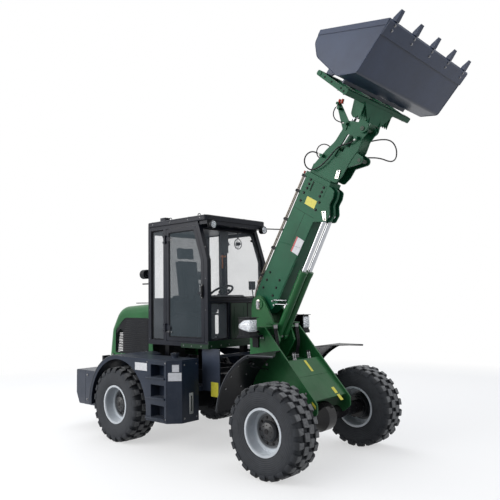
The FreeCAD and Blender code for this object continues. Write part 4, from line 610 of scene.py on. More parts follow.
class Bench:
    """Short calls for modelling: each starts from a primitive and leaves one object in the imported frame."""

    def __init__(self, palette: Palette) -> None:
        """Keeps the finishes that pieces are dressed with."""
        self.palette = palette

    @staticmethod
    def clear() -> None:
        """Deselects everything."""
        if bpy.context.object is not None and bpy.context.object.mode != "OBJECT":
            bpy.ops.object.mode_set(mode="OBJECT")
        bpy.ops.object.select_all(action="DESELECT")

    def pick(self, piece: Piece) -> None:
        """Makes one piece the selected and active one."""
        self.clear()
        piece.select_set(True)
        bpy.context.view_layer.objects.active = piece

    def apply(self, piece: Piece, frame: Optional[Matrix] = None) -> Piece:
        """Moves a piece by a frame, if one is given, and puts its place into its mesh."""
        self.pick(piece)
        if frame is not None:
            piece.matrix_world = frame @ piece.matrix_world
        bpy.ops.object.transform_apply(location=True, rotation=True, scale=True)
        return piece

    def modify(self, piece: Piece, kind: str, **settings: object) -> Piece:
        """Adds a modifier and applies it."""
        self.pick(piece)
        modifier = piece.modifiers.new(kind.title(), kind)
        for name, value in settings.items():
            setattr(modifier, name, value)
        bpy.ops.object.modifier_apply(modifier=modifier.name)
        return piece

    def soften(self, piece: Piece, width: float, segments: int = 2, angle: float = 34.0) -> Piece:
        """Bevels the sharp edges and smooths the shading between them."""
        if width > 0:
            self.modify(piece, "BEVEL", width=width, segments=segments, limit_method="ANGLE",
                angle_limit=math.radians(angle), use_clamp_overlap=True)
        self.pick(piece)
        bpy.ops.object.shade_smooth_by_angle(angle=math.radians(40))
        return piece

    def block(self, low: Point, high: Point, bevel: float = 0.002, name: str = "block",
              taper: Optional[tuple[str, float]] = None) -> Piece:
        """A bevelled block between two corners.

        Args:
            low: Lowest corner.
            high: Highest corner.
            bevel: Width of the rounded edges.
            name: The new object's name.
            taper: Axis letter whose high face shrinks, and the share left of that face.

        Returns:
            The block, in local coordinates.
        """
        self.clear()
        middle = [(a + b) / 2 for a, b in zip(low, high)]
        bpy.ops.mesh.primitive_cube_add(size=1, location=middle)
        piece = bpy.context.object
        piece.name = name
        piece.scale = [b - a for a, b in zip(low, high)]
        self.apply(piece)
        if taper is not None:
            index = "xyz".index(taper[0])
            self.select_faces(piece, lambda n, c: n[index] > 0.9)
            bpy.ops.transform.resize(value=[1.0 if i == index else taper[1] for i in range(3)])
            bpy.ops.object.mode_set(mode="OBJECT")
        return self.soften(piece, bevel)

    def select_faces(self, piece: Piece, wanted: Callable[[Vector, Vector], bool]) -> None:
        """Enters edit mode with the faces whose normal and centre answer to the test selected."""
        self.pick(piece)
        bpy.ops.object.mode_set(mode="EDIT")
        bpy.ops.mesh.select_mode(type="FACE")
        bpy.ops.mesh.select_all(action="DESELECT")
        mesh = bmesh.from_edit_mesh(piece.data)
        for face in mesh.faces:
            face.select_set(wanted(face.normal, face.calc_center_median()))
        bmesh.update_edit_mesh(piece.data)

    def rod(self, start: Point, end: Point, radius: float, bevel: float = 0.0015, name: str = "rod",
            sides: int = 24, tip: Optional[float] = None) -> Piece:
        """A round bar between two points, or a cone where its tip's radius is given."""
        self.clear()
        first, last = Vector(start), Vector(end)
        run = last - first
        bpy.ops.mesh.primitive_cone_add(vertices=sides, radius1=radius, radius2=radius if tip is None else tip,
            depth=run.length, location=(first + last) / 2)
        piece = bpy.context.object
        piece.name = name
        piece.rotation_mode = "QUATERNION"
        piece.rotation_quaternion = run.to_track_quat("Z", "Y")
        self.apply(piece)
        return self.soften(piece, bevel, 2, 50.0)

    def bolt(self, place: Point, way: Point, size: float, name: str = "bolt", washer: bool = True) -> Piece:
        """A hexagon head on its washer, standing along a direction."""
        self.clear()
        bpy.ops.mesh.primitive_cylinder_add(vertices=6, radius=size, depth=size * 0.75,
            location=(0, 0, size * 0.5))
        head = bpy.context.object
        self.apply(head)
        self.select_faces(head, lambda n, c: n.z > 0.9)
        bpy.ops.mesh.inset(thickness=size * 0.22, depth=size * 0.12)
        bpy.ops.object.mode_set(mode="OBJECT")
        pieces = [head]
        if washer:
            bpy.ops.mesh.primitive_cylinder_add(vertices=16, radius=size * 1.45, depth=size * 0.22,
                location=(0, 0, size * 0.11))
            pieces.append(self.apply(bpy.context.object))
        made = self.join(pieces, name)
        turn = Vector(way).to_track_quat("Z", "Y").to_matrix().to_4x4()
        made.data.transform(Matrix.Translation(place) @ turn)
        return made

    def turned(self, profile: Sequence[tuple[float, float]], name: str, steps: int = 64) -> Piece:
        """Spins a closed profile of (radius, height) points about the local third axis."""
        self.clear()
        bpy.ops.mesh.primitive_circle_add(vertices=len(profile), radius=0.1, fill_type="NOTHING")
        piece = bpy.context.object
        piece.name = name
        for vertex, (radius, height) in zip(piece.data.vertices, profile):
            vertex.co = (radius, 0.0, height)
        bpy.ops.object.mode_set(mode="EDIT")
        bpy.ops.mesh.select_all(action="SELECT")
        bpy.ops.mesh.spin(steps=steps, angle=2 * math.pi, center=(0, 0, 0), axis=(0, 0, 1))
        bpy.ops.mesh.select_all(action="SELECT")
        bpy.ops.mesh.remove_doubles(threshold=0.00001)
        bpy.ops.mesh.normals_make_consistent(inside=False)
        bpy.ops.object.mode_set(mode="OBJECT")
        self.pick(piece)
        bpy.ops.object.shade_smooth_by_angle(angle=math.radians(35))
        return piece

    def plate(self, outline: Sequence[tuple[float, float]], y0: float, y1: float, bevel: float = 0.0015,
              name: str = "plate") -> Piece:
        """A flat plate from an (x, z) outline, extruded from y0 to y1."""
        self.clear()
        bpy.ops.mesh.primitive_circle_add(vertices=len(outline), radius=0.1, fill_type="NGON")
        piece = bpy.context.object
        piece.name = name
        for vertex, (x, z) in zip(piece.data.vertices, outline):
            vertex.co = (x, y0, z)
        bpy.ops.object.mode_set(mode="EDIT")
        bpy.ops.mesh.select_all(action="SELECT")
        bpy.ops.mesh.extrude_region_move(TRANSFORM_OT_translate={"value": (0, y1 - y0, 0)})
        bpy.ops.mesh.select_all(action="SELECT")
        bpy.ops.mesh.normals_make_consistent(inside=False)
        bpy.ops.object.mode_set(mode="OBJECT")
        return self.soften(piece, bevel)

    def slab(self, corners: Sequence[Point], lift: Point, bevel: float = 0.0004, name: str = "slab") -> Piece:
        """A flat piece through corners in space, thickened along a direction.

        Args:
            corners: The outline, in order.
            lift: How far and which way the second face stands off.
            bevel: Width of the rounded edges.
            name: The new object's name.

        Returns:
            The slab, in the frame of its corners.
        """
        self.clear()
        bpy.ops.mesh.primitive_circle_add(vertices=len(corners), radius=0.1, fill_type="NGON")
        piece = bpy.context.object
        piece.name = name
        for vertex, corner in zip(piece.data.vertices, corners):
            vertex.co = corner
        bpy.ops.object.mode_set(mode="EDIT")
        bpy.ops.mesh.select_all(action="SELECT")
        bpy.ops.mesh.extrude_region_move(TRANSFORM_OT_translate={"value": lift})
        bpy.ops.mesh.select_all(action="SELECT")
        bpy.ops.mesh.normals_make_consistent(inside=False)
        bpy.ops.object.mode_set(mode="OBJECT")
        return self.soften(piece, bevel, 1)

    def bead(self, corners: Sequence[Point], radius: float, diameter: float, name: str = "bead",
             closed: bool = True) -> Piece:
        """A round bead along a line through corners, each rounded.

        Args:
            corners: The line's corners, in order.
            radius: Distance from a corner at which its rounding starts.
            diameter: Thickness of the bead.
            name: The new object's name.
            closed: Whether the line comes back to its first corner.

        Returns:
            The bead as a mesh.
        """
        line: list[Vector] = []
        count = len(corners)
        for i, corner in enumerate(corners):
            here = Vector(corner)
            if not closed and i in (0, count - 1):
                line.append(here)
                continue
            before = (Vector(corners[i - 1]) - here).normalized() * radius
            after = (Vector(corners[(i + 1) % count]) - here).normalized() * radius
            for t in (0.0, 0.25, 0.5, 0.75, 1.0):
                line.append(here + before * (1 - t) ** 2 + after * t ** 2)
        if len(line) == 2:
            line.insert(1, (line[0] + line[1]) / 2)
        self.clear()
        bpy.ops.mesh.primitive_circle_add(vertices=len(line), radius=0.1, fill_type="NOTHING")
        piece = bpy.context.object
        piece.name = name
        for vertex, point in zip(piece.data.vertices, line):
            vertex.co = point
        if not closed:
            bpy.ops.object.mode_set(mode="EDIT")
            bpy.ops.mesh.select_mode(type="EDGE")
            bpy.ops.mesh.select_all(action="DESELECT")
            mesh = bmesh.from_edit_mesh(piece.data)
            for edge in mesh.edges:
                edge.select_set({v.index for v in edge.verts} == {0, len(line) - 1})
            bmesh.update_edit_mesh(piece.data)
            bpy.ops.mesh.delete(type="EDGE")
            bpy.ops.object.mode_set(mode="OBJECT")
        self.pick(piece)
        bpy.ops.object.convert(target="CURVE")
        piece = bpy.context.object
        piece.data.bevel_depth = diameter / 2
        piece.data.bevel_resolution = 2
        piece.data.use_fill_caps = True
        bpy.ops.object.convert(target="MESH")
        piece = bpy.context.object
        bpy.ops.object.shade_smooth()
        return piece

    def lamp(self, place: Point, way: Point, radius: float) -> tuple[Piece, Piece, Piece]:
        """A round lamp's bezel, faceted bowl and domed lens, facing a direction."""
        bezel = self.turned([(radius * 0.90, -0.004), (radius * 1.04, -0.004), (radius * 1.06, 0.006),
            (radius * 1.0, 0.014), (radius * 0.93, 0.013), (radius * 0.88, 0.004)], "bezel", 40)
        bowl = self.turned([(0.0005, 0.002), (radius * 0.4, 0.003), (radius * 0.9, 0.009),
            (radius * 0.9, -0.002), (0.0005, -0.002)], "bowl", 40)
        lens = self.turned([(0.0005, 0.020), (radius * 0.5, 0.0175), (radius * 0.89, 0.0105),
            (radius * 0.89, 0.0095), (radius * 0.5, 0.0150), (0.0005, 0.0170)], "lens", 40)
        turn = Matrix.Translation(place) @ Vector(way).to_track_quat("Z", "Y").to_matrix().to_4x4()
        for piece in (bezel, bowl, lens):
            piece.data.transform(turn)
        return bezel, bowl, lens

    def ring(self, place: Point, way: Point, major: float, minor: float, name: str = "ring",
             steps: tuple[int, int] = (48, 12)) -> Piece:
        """A round ring about a direction."""
        self.clear()
        bpy.ops.mesh.primitive_torus_add(major_radius=major, minor_radius=minor, major_segments=steps[0],
            minor_segments=steps[1])
        piece = bpy.context.object
        piece.name = name
        turn = Vector(way).to_track_quat("Z", "Y").to_matrix().to_4x4()
        piece.data.transform(Matrix.Translation(place) @ turn)
        self.pick(piece)
        bpy.ops.object.shade_smooth()
        return piece

    def wire(self, points: Sequence[Point], diameter: float, name: str) -> Piece:
        """A smooth round line through the neighbourhood of its points, made a mesh."""
        piece = self.curve(points, diameter, name)
        self.pick(piece)
        bpy.ops.object.convert(target="MESH")
        return bpy.context.object

    @staticmethod
    def curve(points: Sequence[Point], diameter: float, name: str) -> Piece:
        """A round NURBS curve with these control points."""
        data = bpy.data.curves.new(name, "CURVE")
        data.dimensions = "3D"
        spline = data.splines.new("NURBS")
        spline.points.add(len(points) - 1)
        for target, point in zip(spline.points, points):
            target.co = (*point, 1.0)
        spline.order_u = 3
        spline.use_endpoint_u = True
        spline.resolution_u = 8
        data.bevel_depth = diameter / 2
        data.bevel_resolution = 4
        data.use_fill_caps = True
        piece = bpy.data.objects.new(name, data)
        bpy.context.scene.collection.objects.link(piece)
        return piece

    def join(self, pieces: Sequence[Piece], name: str) -> Piece:
        """Joins pieces into one object."""
        self.clear()
        for piece in pieces:
            piece.select_set(True)
        bpy.context.view_layer.objects.active = pieces[0]
        if len(pieces) > 1:
            bpy.ops.object.join()
        made = bpy.context.view_layer.objects.active
        made.name = name
        return made

    def copies(self, model: Piece, places: Iterable[Matrix], name: str) -> Piece:
        """Copies a piece to every place, each copy with its own mesh, and joins them; the model is used up."""
        made = []
        for place in places:
            twin = model.copy()
            twin.data = model.data.copy()
            twin.data.transform(place)
            bpy.context.scene.collection.objects.link(twin)
            made.append(twin)
        bpy.data.objects.remove(model)
        return self.join(made, name)

    def strip(self, corners: Sequence[Point], radius: float, diameter: float) -> Piece:
        """A round bead along an open line through corners."""
        return self.bead(corners, radius, diameter, closed=False)

    def group(self, parts: Sequence[Piece], name: str, finish: str, body: Body, slot: Slot,
              frame: Optional[Matrix] = None) -> Piece:
        """Joins parts into one piece and finishes it, in the datum unless a frame is given."""
        placed = Datum.ground() if frame is None else frame
        return self.fit(self.join(parts, name), finish, body, slot, frame=placed)

    def fit(self, piece: Piece, finish: str, body: Body, slot: Slot, name: Optional[str] = None,
            frame: Optional[Matrix] = None) -> Piece:
        """Finishes a piece: places it, dresses it, and lets it ride on its body."""
        if frame is not None:
            piece.data.transform(frame)
        if name is not None:
            piece.name = name
            piece.data.name = name
        self.palette.dress(piece, finish)
        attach(piece, body.value)
        LOG.info("made %s", piece.name)
        return piece


class Assembly(Bench):
    """A sub-assembly, which models its pieces with the bench's calls."""

    def dress_nodes(self, finishes: dict[str, str]) -> None:
        """Dresses CAD nodes that keep their shape."""
        for node, finish in finishes.items():
            self.palette.dress(bpy.data.objects[node], finish)

    def build(self) -> None:
        """Models and dresses the sub-assembly."""
        raise NotImplementedError


# ---- stage ----
@dataclass
class Studio:
    """Plain white floor and sky, soft lamps, and the camera at the front right corner of the machine."""

    eye: Point = (7.201, -6.133, 2.064)
    yaw: float = 132.031
    pitch: float = 4.736
    roll: float = -0.956
    lens: float = 41.229
    floor_radius: float = 60.0
    sky: float = 0.62

    def camera(self) -> None:
        """Sets the camera."""
        data = bpy.data.cameras.new("camera")
        data.lens = self.lens
        data.sensor_width = 36.0
        data.clip_end = 300.0
        obj = bpy.data.objects.new("camera", data)
        bpy.context.scene.collection.objects.link(obj)
        yaw, pitch, roll = (math.radians(v) for v in (self.yaw, self.pitch, self.roll))
        ahead = Vector((math.cos(yaw) * math.cos(pitch), math.sin(yaw) * math.cos(pitch), math.sin(pitch)))
        side = ahead.cross(Vector((0, 0, 1))).normalized()
        over = side.cross(ahead)
        right = side * math.cos(roll) + over * math.sin(roll)
        up = over * math.cos(roll) - side * math.sin(roll)
        turn = Matrix((right, up, -ahead)).transposed().to_4x4()
        obj.matrix_world = Datum.ground() @ Matrix.Translation(self.eye) @ turn
        bpy.context.scene.camera = obj

    @staticmethod
    def background_rays(tree: bpy.types.NodeTree) -> bpy.types.NodeSocket:
        """One for camera, mirror and see-through rays, which show the background, and zero for the rest."""
        path = tree.nodes.new("ShaderNodeLightPath")
        shown = path.outputs["Is Camera Ray"]
        for kind in ("Is Glossy Ray", "Is Transmission Ray"):
            larger = tree.nodes.new("ShaderNodeMath")
            larger.operation = "MAXIMUM"
            tree.links.new(shown, larger.inputs[0])
            tree.links.new(path.outputs[kind], larger.inputs[1])
            shown = larger.outputs[0]
        return shown

    def world(self) -> None:
        """Lights the scene from a pale sky that is darker towards and below the horizon."""
        world = bpy.data.worlds.new("sky")
        bpy.context.scene.world = world
        world.use_nodes = True
        tree = world.node_tree
        tree.nodes.clear()
        place = tree.nodes.new("ShaderNodeTexCoord")
        split = tree.nodes.new("ShaderNodeSeparateXYZ")
        rise = tree.nodes.new("ShaderNodeMapRange")
        tint = tree.nodes.new("ShaderNodeMix")
        tint.data_type = "RGBA"
        glow = tree.nodes.new("ShaderNodeBackground")
        seen = tree.nodes.new("ShaderNodeBackground")
        choose = tree.nodes.new("ShaderNodeMixShader")
        out = tree.nodes.new("ShaderNodeOutputWorld")
        link = tree.links.new
        link(place.outputs["Generated"], split.inputs[0])
        link(split.outputs[2], rise.inputs["Value"])
        rise.inputs["From Min"].default_value = -0.10
        rise.inputs["From Max"].default_value = 0.55
        link(rise.outputs["Result"], tint.inputs["Factor"])
        tint.inputs["A"].default_value = (0.26, 0.29, 0.34, 1.0)
        tint.inputs["B"].default_value = (1.0, 1.04, 1.12, 1.0)
        link(tint.outputs["Result"], glow.inputs["Color"])
        glow.inputs["Strength"].default_value = self.sky
        seen.inputs["Color"].default_value = (1.0, 1.0, 1.0, 1.0)
        seen.inputs["Strength"].default_value = 1.0
        link(self.background_rays(tree), choose.inputs["Fac"])
        link(glow.outputs[0], choose.inputs[1])
        link(seen.outputs[0], choose.inputs[2])
        link(choose.outputs[0], out.inputs["Surface"])

    def lamp(self, name: str, place: Point, aim: Point, size: tuple[float, float], power: float,
             colour: Colour = (1.0, 1.0, 1.0)) -> None:
        """A soft rectangular lamp at a place in the datum, aimed at a point."""
        data = bpy.data.lights.new(name, "AREA")
        data.shape = "RECTANGLE"
        data.size, data.size_y = size
        data.energy = power
        data.color = colour
        obj = bpy.data.objects.new(name, data)
        bpy.context.scene.collection.objects.link(obj)
        obj.location = Datum.ground() @ Vector(place)
        way = (Datum.ground() @ Vector(aim)) - obj.location
        obj.rotation_mode = "QUATERNION"
        obj.rotation_quaternion = way.to_track_quat("-Z", "Y")

    def floor(self) -> None:
        """Lays the white floor, which fades into the white sky far away and keeps the machine's shadow."""
        Bench.clear()
        bpy.ops.mesh.primitive_circle_add(vertices=64, radius=self.floor_radius, fill_type="NGON",
            location=(0, 0, -0.0005))
        obj = bpy.context.object
        obj.name = "studio_floor"
        sheet = Sheet("studio_white")
        reach = sheet.node("ShaderNodeVectorMath", operation="LENGTH")
        sheet.feed(reach.inputs[0], sheet.place)
        far = sheet.span(reach.outputs["Value"], 5.0, 11.0)
        mottle = sheet.span(sheet.noise(0.8, 4.0), 0.3, 0.7, 0.80, 0.84)
        shown = self.background_rays(sheet.tree)
        white = sheet.mix(mottle, (0.72, 0.72, 0.72), (0.86, 0.86, 0.86))
        sheet.shade(base_color=sheet.mix(shown, (0.14, 0.14, 0.14), white), roughness=0.9,
            specular_ior_level=0.1)
        glow = sheet.node("ShaderNodeEmission")
        glow.inputs["Strength"].default_value = 1.0
        amount = sheet.maths("MULTIPLY", shown, sheet.maths("MAXIMUM", far, 0.55))
        blend = sheet.node("ShaderNodeMixShader")
        sheet.feed(blend.inputs["Fac"], amount)
        sheet.feed(blend.inputs[1], sheet.shader.outputs[0])
        sheet.feed(blend.inputs[2], glow.outputs[0])
        sheet.feed(sheet.tree.nodes["Material Output"].inputs["Surface"], blend.outputs[0])
        obj.data.materials.append(sheet.material)

    def build(self) -> None:
        """Sets the whole stage."""
        bpy.context.scene.view_settings.view_transform = "Standard"
        self.camera()
        self.world()
        self.floor()
        self.lamp("key_lamp", (-3.4, -10.5, 6.4), (1.6, 0.0, 2.4), (12.0, 8.0), 1350.0, (1.0, 0.99, 0.97))
        self.lamp("top_lamp", (-3.0, 3.0, 12.0), (1.0, 0.0, 1.5), (8.0, 8.0), 620.0, (0.96, 0.98, 1.0))
        self.lamp("front_lamp", (12.0, 3.0, 6.0), (2.0, 0.0, 1.8), (6.0, 5.0), 240.0, (0.97, 0.98, 1.0))
        LOG.info("stage set")


# ---- hoses ----
@dataclass(frozen=True)
class HoseRun:
    """A free hose: its route in the boom's frame, in metres, and its diameter and length."""

    node: str
    diameter: float
    length: float
    route: tuple[Point, ...]


SIDE_RUN = HoseRun("head_hose_side", 0.018, 1.629, ((2.560, 0.112, -0.331), (2.572, 0.200, -0.322),
    (2.608, 0.330, -0.303), (2.645, 0.480, -0.288), (2.672, 0.640, -0.284), (2.660, 0.770, -0.296),
    (2.590, 0.850, -0.340), (2.490, 0.828, -0.398), (2.435, 0.730, -0.430), (2.420, 0.600, -0.441),
    (2.424, 0.450, -0.436), (2.412, 0.310, -0.428), (2.385, 0.200, -0.412), (2.368, 0.112, -0.400)))
NEAR_RUN = HoseRun("head_hose_near", 0.018, 1.258, ((2.180, -0.130, 0.066), (2.190, -0.146, 0.150),
    (2.165, -0.153, 0.228), (2.100, -0.158, 0.272), (2.025, -0.159, 0.264), (1.968, -0.156, 0.210),
    (1.950, -0.151, 0.138), (1.975, -0.148, 0.066), (2.035, -0.146, 0.008), (2.105, -0.145, -0.038),
    (2.185, -0.144, -0.072), (2.270, -0.143, -0.098), (2.350, -0.143, -0.132), (2.410, -0.142, -0.188),
    (2.450, -0.142, -0.252), (2.495, -0.140, -0.305), (2.556, -0.134, -0.329)))
LOOP_RUN = HoseRun("head_hose_loop", 0.014, 0.617, ((2.297, -0.073, -0.055), (2.318, -0.073, 0.010),
    (2.330, -0.072, 0.085), (2.312, -0.070, 0.158), (2.258, -0.069, 0.207), (2.190, -0.069, 0.205),
    (2.140, -0.070, 0.155), (2.132, -0.072, 0.085), (2.160, -0.073, 0.020), (2.196, -0.073, -0.025)))
COUPLER_RUN = HoseRun("head_hose_coupler", 0.014, 0.365, ((2.662, -0.135, -0.088), (2.650, -0.148, -0.010),
    (2.655, -0.154, 0.065), (2.700, -0.156, 0.125), (2.770, -0.155, 0.142), (2.836, -0.150, 0.125)))


class HeadHoses(Assembly):
    """Loops of hydraulic hose at the boom's head, each from one fitting to another."""

    runs: tuple[HoseRun, ...] = (SIDE_RUN, NEAR_RUN, LOOP_RUN, COUPLER_RUN)

    def build(self) -> None:
        """Lays every hose with its crimped ends."""
        for run in self.runs:
            self.lay(run)

    def lay(self, run: HoseRun) -> None:
        points = [tuple(Datum.boom() @ Vector(p)) for p in run.route]
        hose = self.curve(points, run.diameter, run.node + "_line")
        self.fit(hose, "hose_cover", Body.INNER_BOOM, Slot.HOSE)
        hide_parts(run.node)
        ends = [self.ferrule(points[0], points[1], run), self.ferrule(points[-1], points[-2], run)]
        crimps = self.join(ends, run.node + "_crimps")
        self.fit(crimps, "zinc_plate", Body.INNER_BOOM, Slot.STEEL)

    def ferrule(self, start: Point, towards: Point, run: HoseRun) -> Piece:
        """A crimped sleeve and its nut over a hose's end."""
        first = Vector(start)
        way = (Vector(towards) - first).normalized()
        reach = run.diameter
        sleeve = self.rod(tuple(first + way * reach * 0.9), tuple(first + way * reach * 2.4),
            run.diameter * 0.66, run.diameter * 0.08, sides=20)
        nut = self.rod(tuple(first + way * reach * 0.1), tuple(first + way * reach * 0.9),
            run.diameter * 0.80, run.diameter * 0.06, sides=6)
        return self.join([sleeve, nut], "ferrule")


# ---- wheels ----
@dataclass
class TyreShape:
    """Sizes of the block-tread tyre, about its axle."""

    radius: float = 0.5370
    half: float = 0.2025
    bead: float = 0.2545
    base: float = 0.5040
    pitches: int = 22
    lug_height: float = 0.0335
    lug_stretch: float = 1.30
    lug_spread: float = 1.06
    shoulder_half: float = 0.039


class Wheels(Assembly):
    """Four wheels: tyres with block treads, painted rims, and hubs with their bolts."""

    shape = TyreShape()
    corners: tuple[tuple[str, float, int], ...] = ( ("front_right", WHEELBASE, -1),
        ("front_left", WHEELBASE, 1), ("rear_right", 0.0, -1), ("rear_left", 0.0, 1))

    def build(self) -> None:
        """Models one tyre and one hub set, and copies them to the four corners."""
        tyre = self.tyre()
        hub = self.hub()
        for name, x, side in self.corners:
            frame = Datum.wheel(x, side)
            body = name + "_wheel"
            made = self.place(tyre, frame, name + "_treaded_tyre")
            self.palette.finishes["rubber_" + name] = Tyre("rubber_" + name, x, side)
            self.palette.dress(made, "rubber_" + name)
            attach(made, body)
            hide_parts(name + "_tyre")
            bolts = self.place(hub, frame, name + "_hub")
            self.palette.dress(bolts, "axle_enamel")
            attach(bolts, body)
            valve = self.rod((0.205, 0.02, 0.055), (0.222, 0.02, 0.105), 0.006, 0.001, sides=12)
            valve.data.transform(frame)
            valve.name = name + "_valve"
            self.palette.dress(valve, "zinc_plate")
            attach(valve, body)
            self.palette.finishes["rim_" + name] = Rim("rim_" + name, x, side)
            self.palette.dress(bpy.data.objects[name + "_rim"], "rim_" + name)
            LOG.info("dressed %s wheel", name)
        bpy.data.objects.remove(tyre)
        bpy.data.objects.remove(hub)

    @staticmethod
    def place(model: Piece, frame: Matrix, name: str) -> Piece:
        """A copy of a model, with its own mesh, in a frame."""
        twin = model.copy()
        twin.data = model.data.copy()
        twin.data.transform(frame)
        twin.name = name
        twin.data.name = name
        bpy.context.scene.collection.objects.link(twin)
        return twin

    def tyre(self) -> Piece:
        """The carcass, spun, with its tread blocks in four rows."""
        s = self.shape
        outer = [(s.bead, -0.166), (0.262, -0.1755), (0.279, -0.1765), (0.286, -0.183), (0.302, -0.186),
            (0.330, -0.1945), (0.360, -0.200), (0.390, -0.2020), (0.430, -0.2015), (0.462, -0.198),
            (0.486, -0.188), (0.498, -0.170), (s.base, -0.130), (s.base + 0.001, -0.060)]
        profile = outer + [(r, -z) for r, z in reversed(outer)] + [(s.bead, 0.142), (0.300, 0.150),
            (0.455, 0.150), (0.455, -0.150), (0.300, -0.150), (s.bead, -0.142)]
        carcass = self.turned(profile, "carcass", 108)
        step = 2 * math.pi / s.pitches
        rows = [(self.lug(((-0.046, -0.008), (0.040, 0.004), (0.046, 0.086), (-0.036, 0.078))), 0.0),
            (self.lug(((-0.046, -0.078), (0.036, -0.086), (0.046, -0.004), (-0.040, 0.008))), 0.5),
            (self.shoulder(1), 0.5), (self.shoulder(-1), 0.0), ]
        parts = [carcass]
        for model, phase in rows:
            turns = [Matrix.Rotation((i + phase) * step, 4, "Z") for i in range(s.pitches)]
            parts.append(self.copies(model, turns, "lugs"))
        return self.join(parts, "tyre_model")

    def lug(self, corners: Sequence[tuple[float, float]]) -> Piece:
        """One centre block from its four (along, across) corners at the tread's face."""
        s = self.shape
        self.clear()
        bpy.ops.mesh.primitive_circle_add(vertices=4, radius=0.1, fill_type="NGON")
        piece = bpy.context.object
        for vertex, (along, across) in zip(piece.data.vertices, corners):
            vertex.co = (s.base - 0.006, along * s.lug_stretch, across * s.lug_spread)
        bpy.ops.object.mode_set(mode="EDIT")
        bpy.ops.mesh.select_all(action="SELECT")
        bpy.ops.mesh.extrude_region_move(TRANSFORM_OT_translate={"value": (s.lug_height + 0.0055, 0, 0)})
        bpy.ops.transform.resize(value=(1.0, 0.88, 0.92))
        bpy.ops.mesh.select_all(action="SELECT")
        bpy.ops.mesh.normals_make_consistent(inside=False)
        bpy.ops.object.mode_set(mode="OBJECT")
        return self.soften(piece, 0.0035, 1)

    def shoulder(self, side: int) -> Piece:
        """One shoulder block, which wraps from the tread's face over the shoulder onto the wall."""
        s = self.shape
        self.clear()
        section = [(s.base - 0.004, 0.104), (s.radius - 0.0012, 0.106), (s.radius - 0.0015, 0.150),
            (s.radius - 0.006, 0.176), (0.508, 0.199), (0.470, 0.2065), (0.458, 0.2030), (0.462, 0.190)]
        bpy.ops.mesh.primitive_circle_add(vertices=len(section), radius=0.1, fill_type="NGON")
        piece = bpy.context.object
        for vertex, (radius, across) in zip(piece.data.vertices, section):
            vertex.co = (radius, -s.shoulder_half, side * across)
        bpy.ops.object.mode_set(mode="EDIT")
        bpy.ops.mesh.select_all(action="SELECT")
        bpy.ops.mesh.extrude_region_move(TRANSFORM_OT_translate={"value": (0, 2 * s.shoulder_half, 0)})
        bpy.ops.mesh.select_all(action="SELECT")
        bpy.ops.mesh.normals_make_consistent(inside=False)
        bpy.ops.object.mode_set(mode="OBJECT")
        for vertex in piece.data.vertices:
            across = abs(vertex.co.z)
            vertex.co.y *= 1.12 if across > 0.19 else 0.84 + 0.16 * (across > 0.12)
        return self.soften(piece, 0.003, 1)

    def hub(self) -> Piece:
        """Wheel nuts on the disc, and a stepped cap with its bolts on the hub's end."""
        cap = self.turned([(0.001, 0.1195), (0.026, 0.1195), (0.030, 0.1165), (0.032, 0.110),
            (0.001, 0.110)], "hub_cap", 32)
        lip = self.turned([(0.116, 0.040), (0.126, 0.040), (0.128, 0.044), (0.126, 0.048),
            (0.118, 0.050)], "hub_lip", 48)
        parts = [cap, lip]
        for count, radius, size, height in ((10, 0.151, 0.0125, 0.042), (8, 0.072, 0.007, 0.1015)):
            nut = self.bolt((radius, 0.0, height), (0, 0, 1), size, washer=count == 10)
            turns = [Matrix.Rotation(2 * math.pi * i / count, 4, "Z") for i in range(count)]
            parts.append(self.copies(nut, turns, "nuts"))
        return self.join(parts, "hub_model")


# ---- cab ----
@dataclass
class CabSizes:
    """Places on the cab, in the datum."""

    half: float = 0.624
    knee_z: float = 2.600
    screen_x: float = 1.436
    screen_fall: float = 0.336
    door_face: float = 0.6105
    door_rear: float = 0.605
    door_front: float = 1.296
    door_low: float = 1.511
    door_top: float = 3.041
    door_lean: float = 1.146
    handle_y: float = 0.648
    wheel_place: Point = (1.075, 0.0, 2.150)


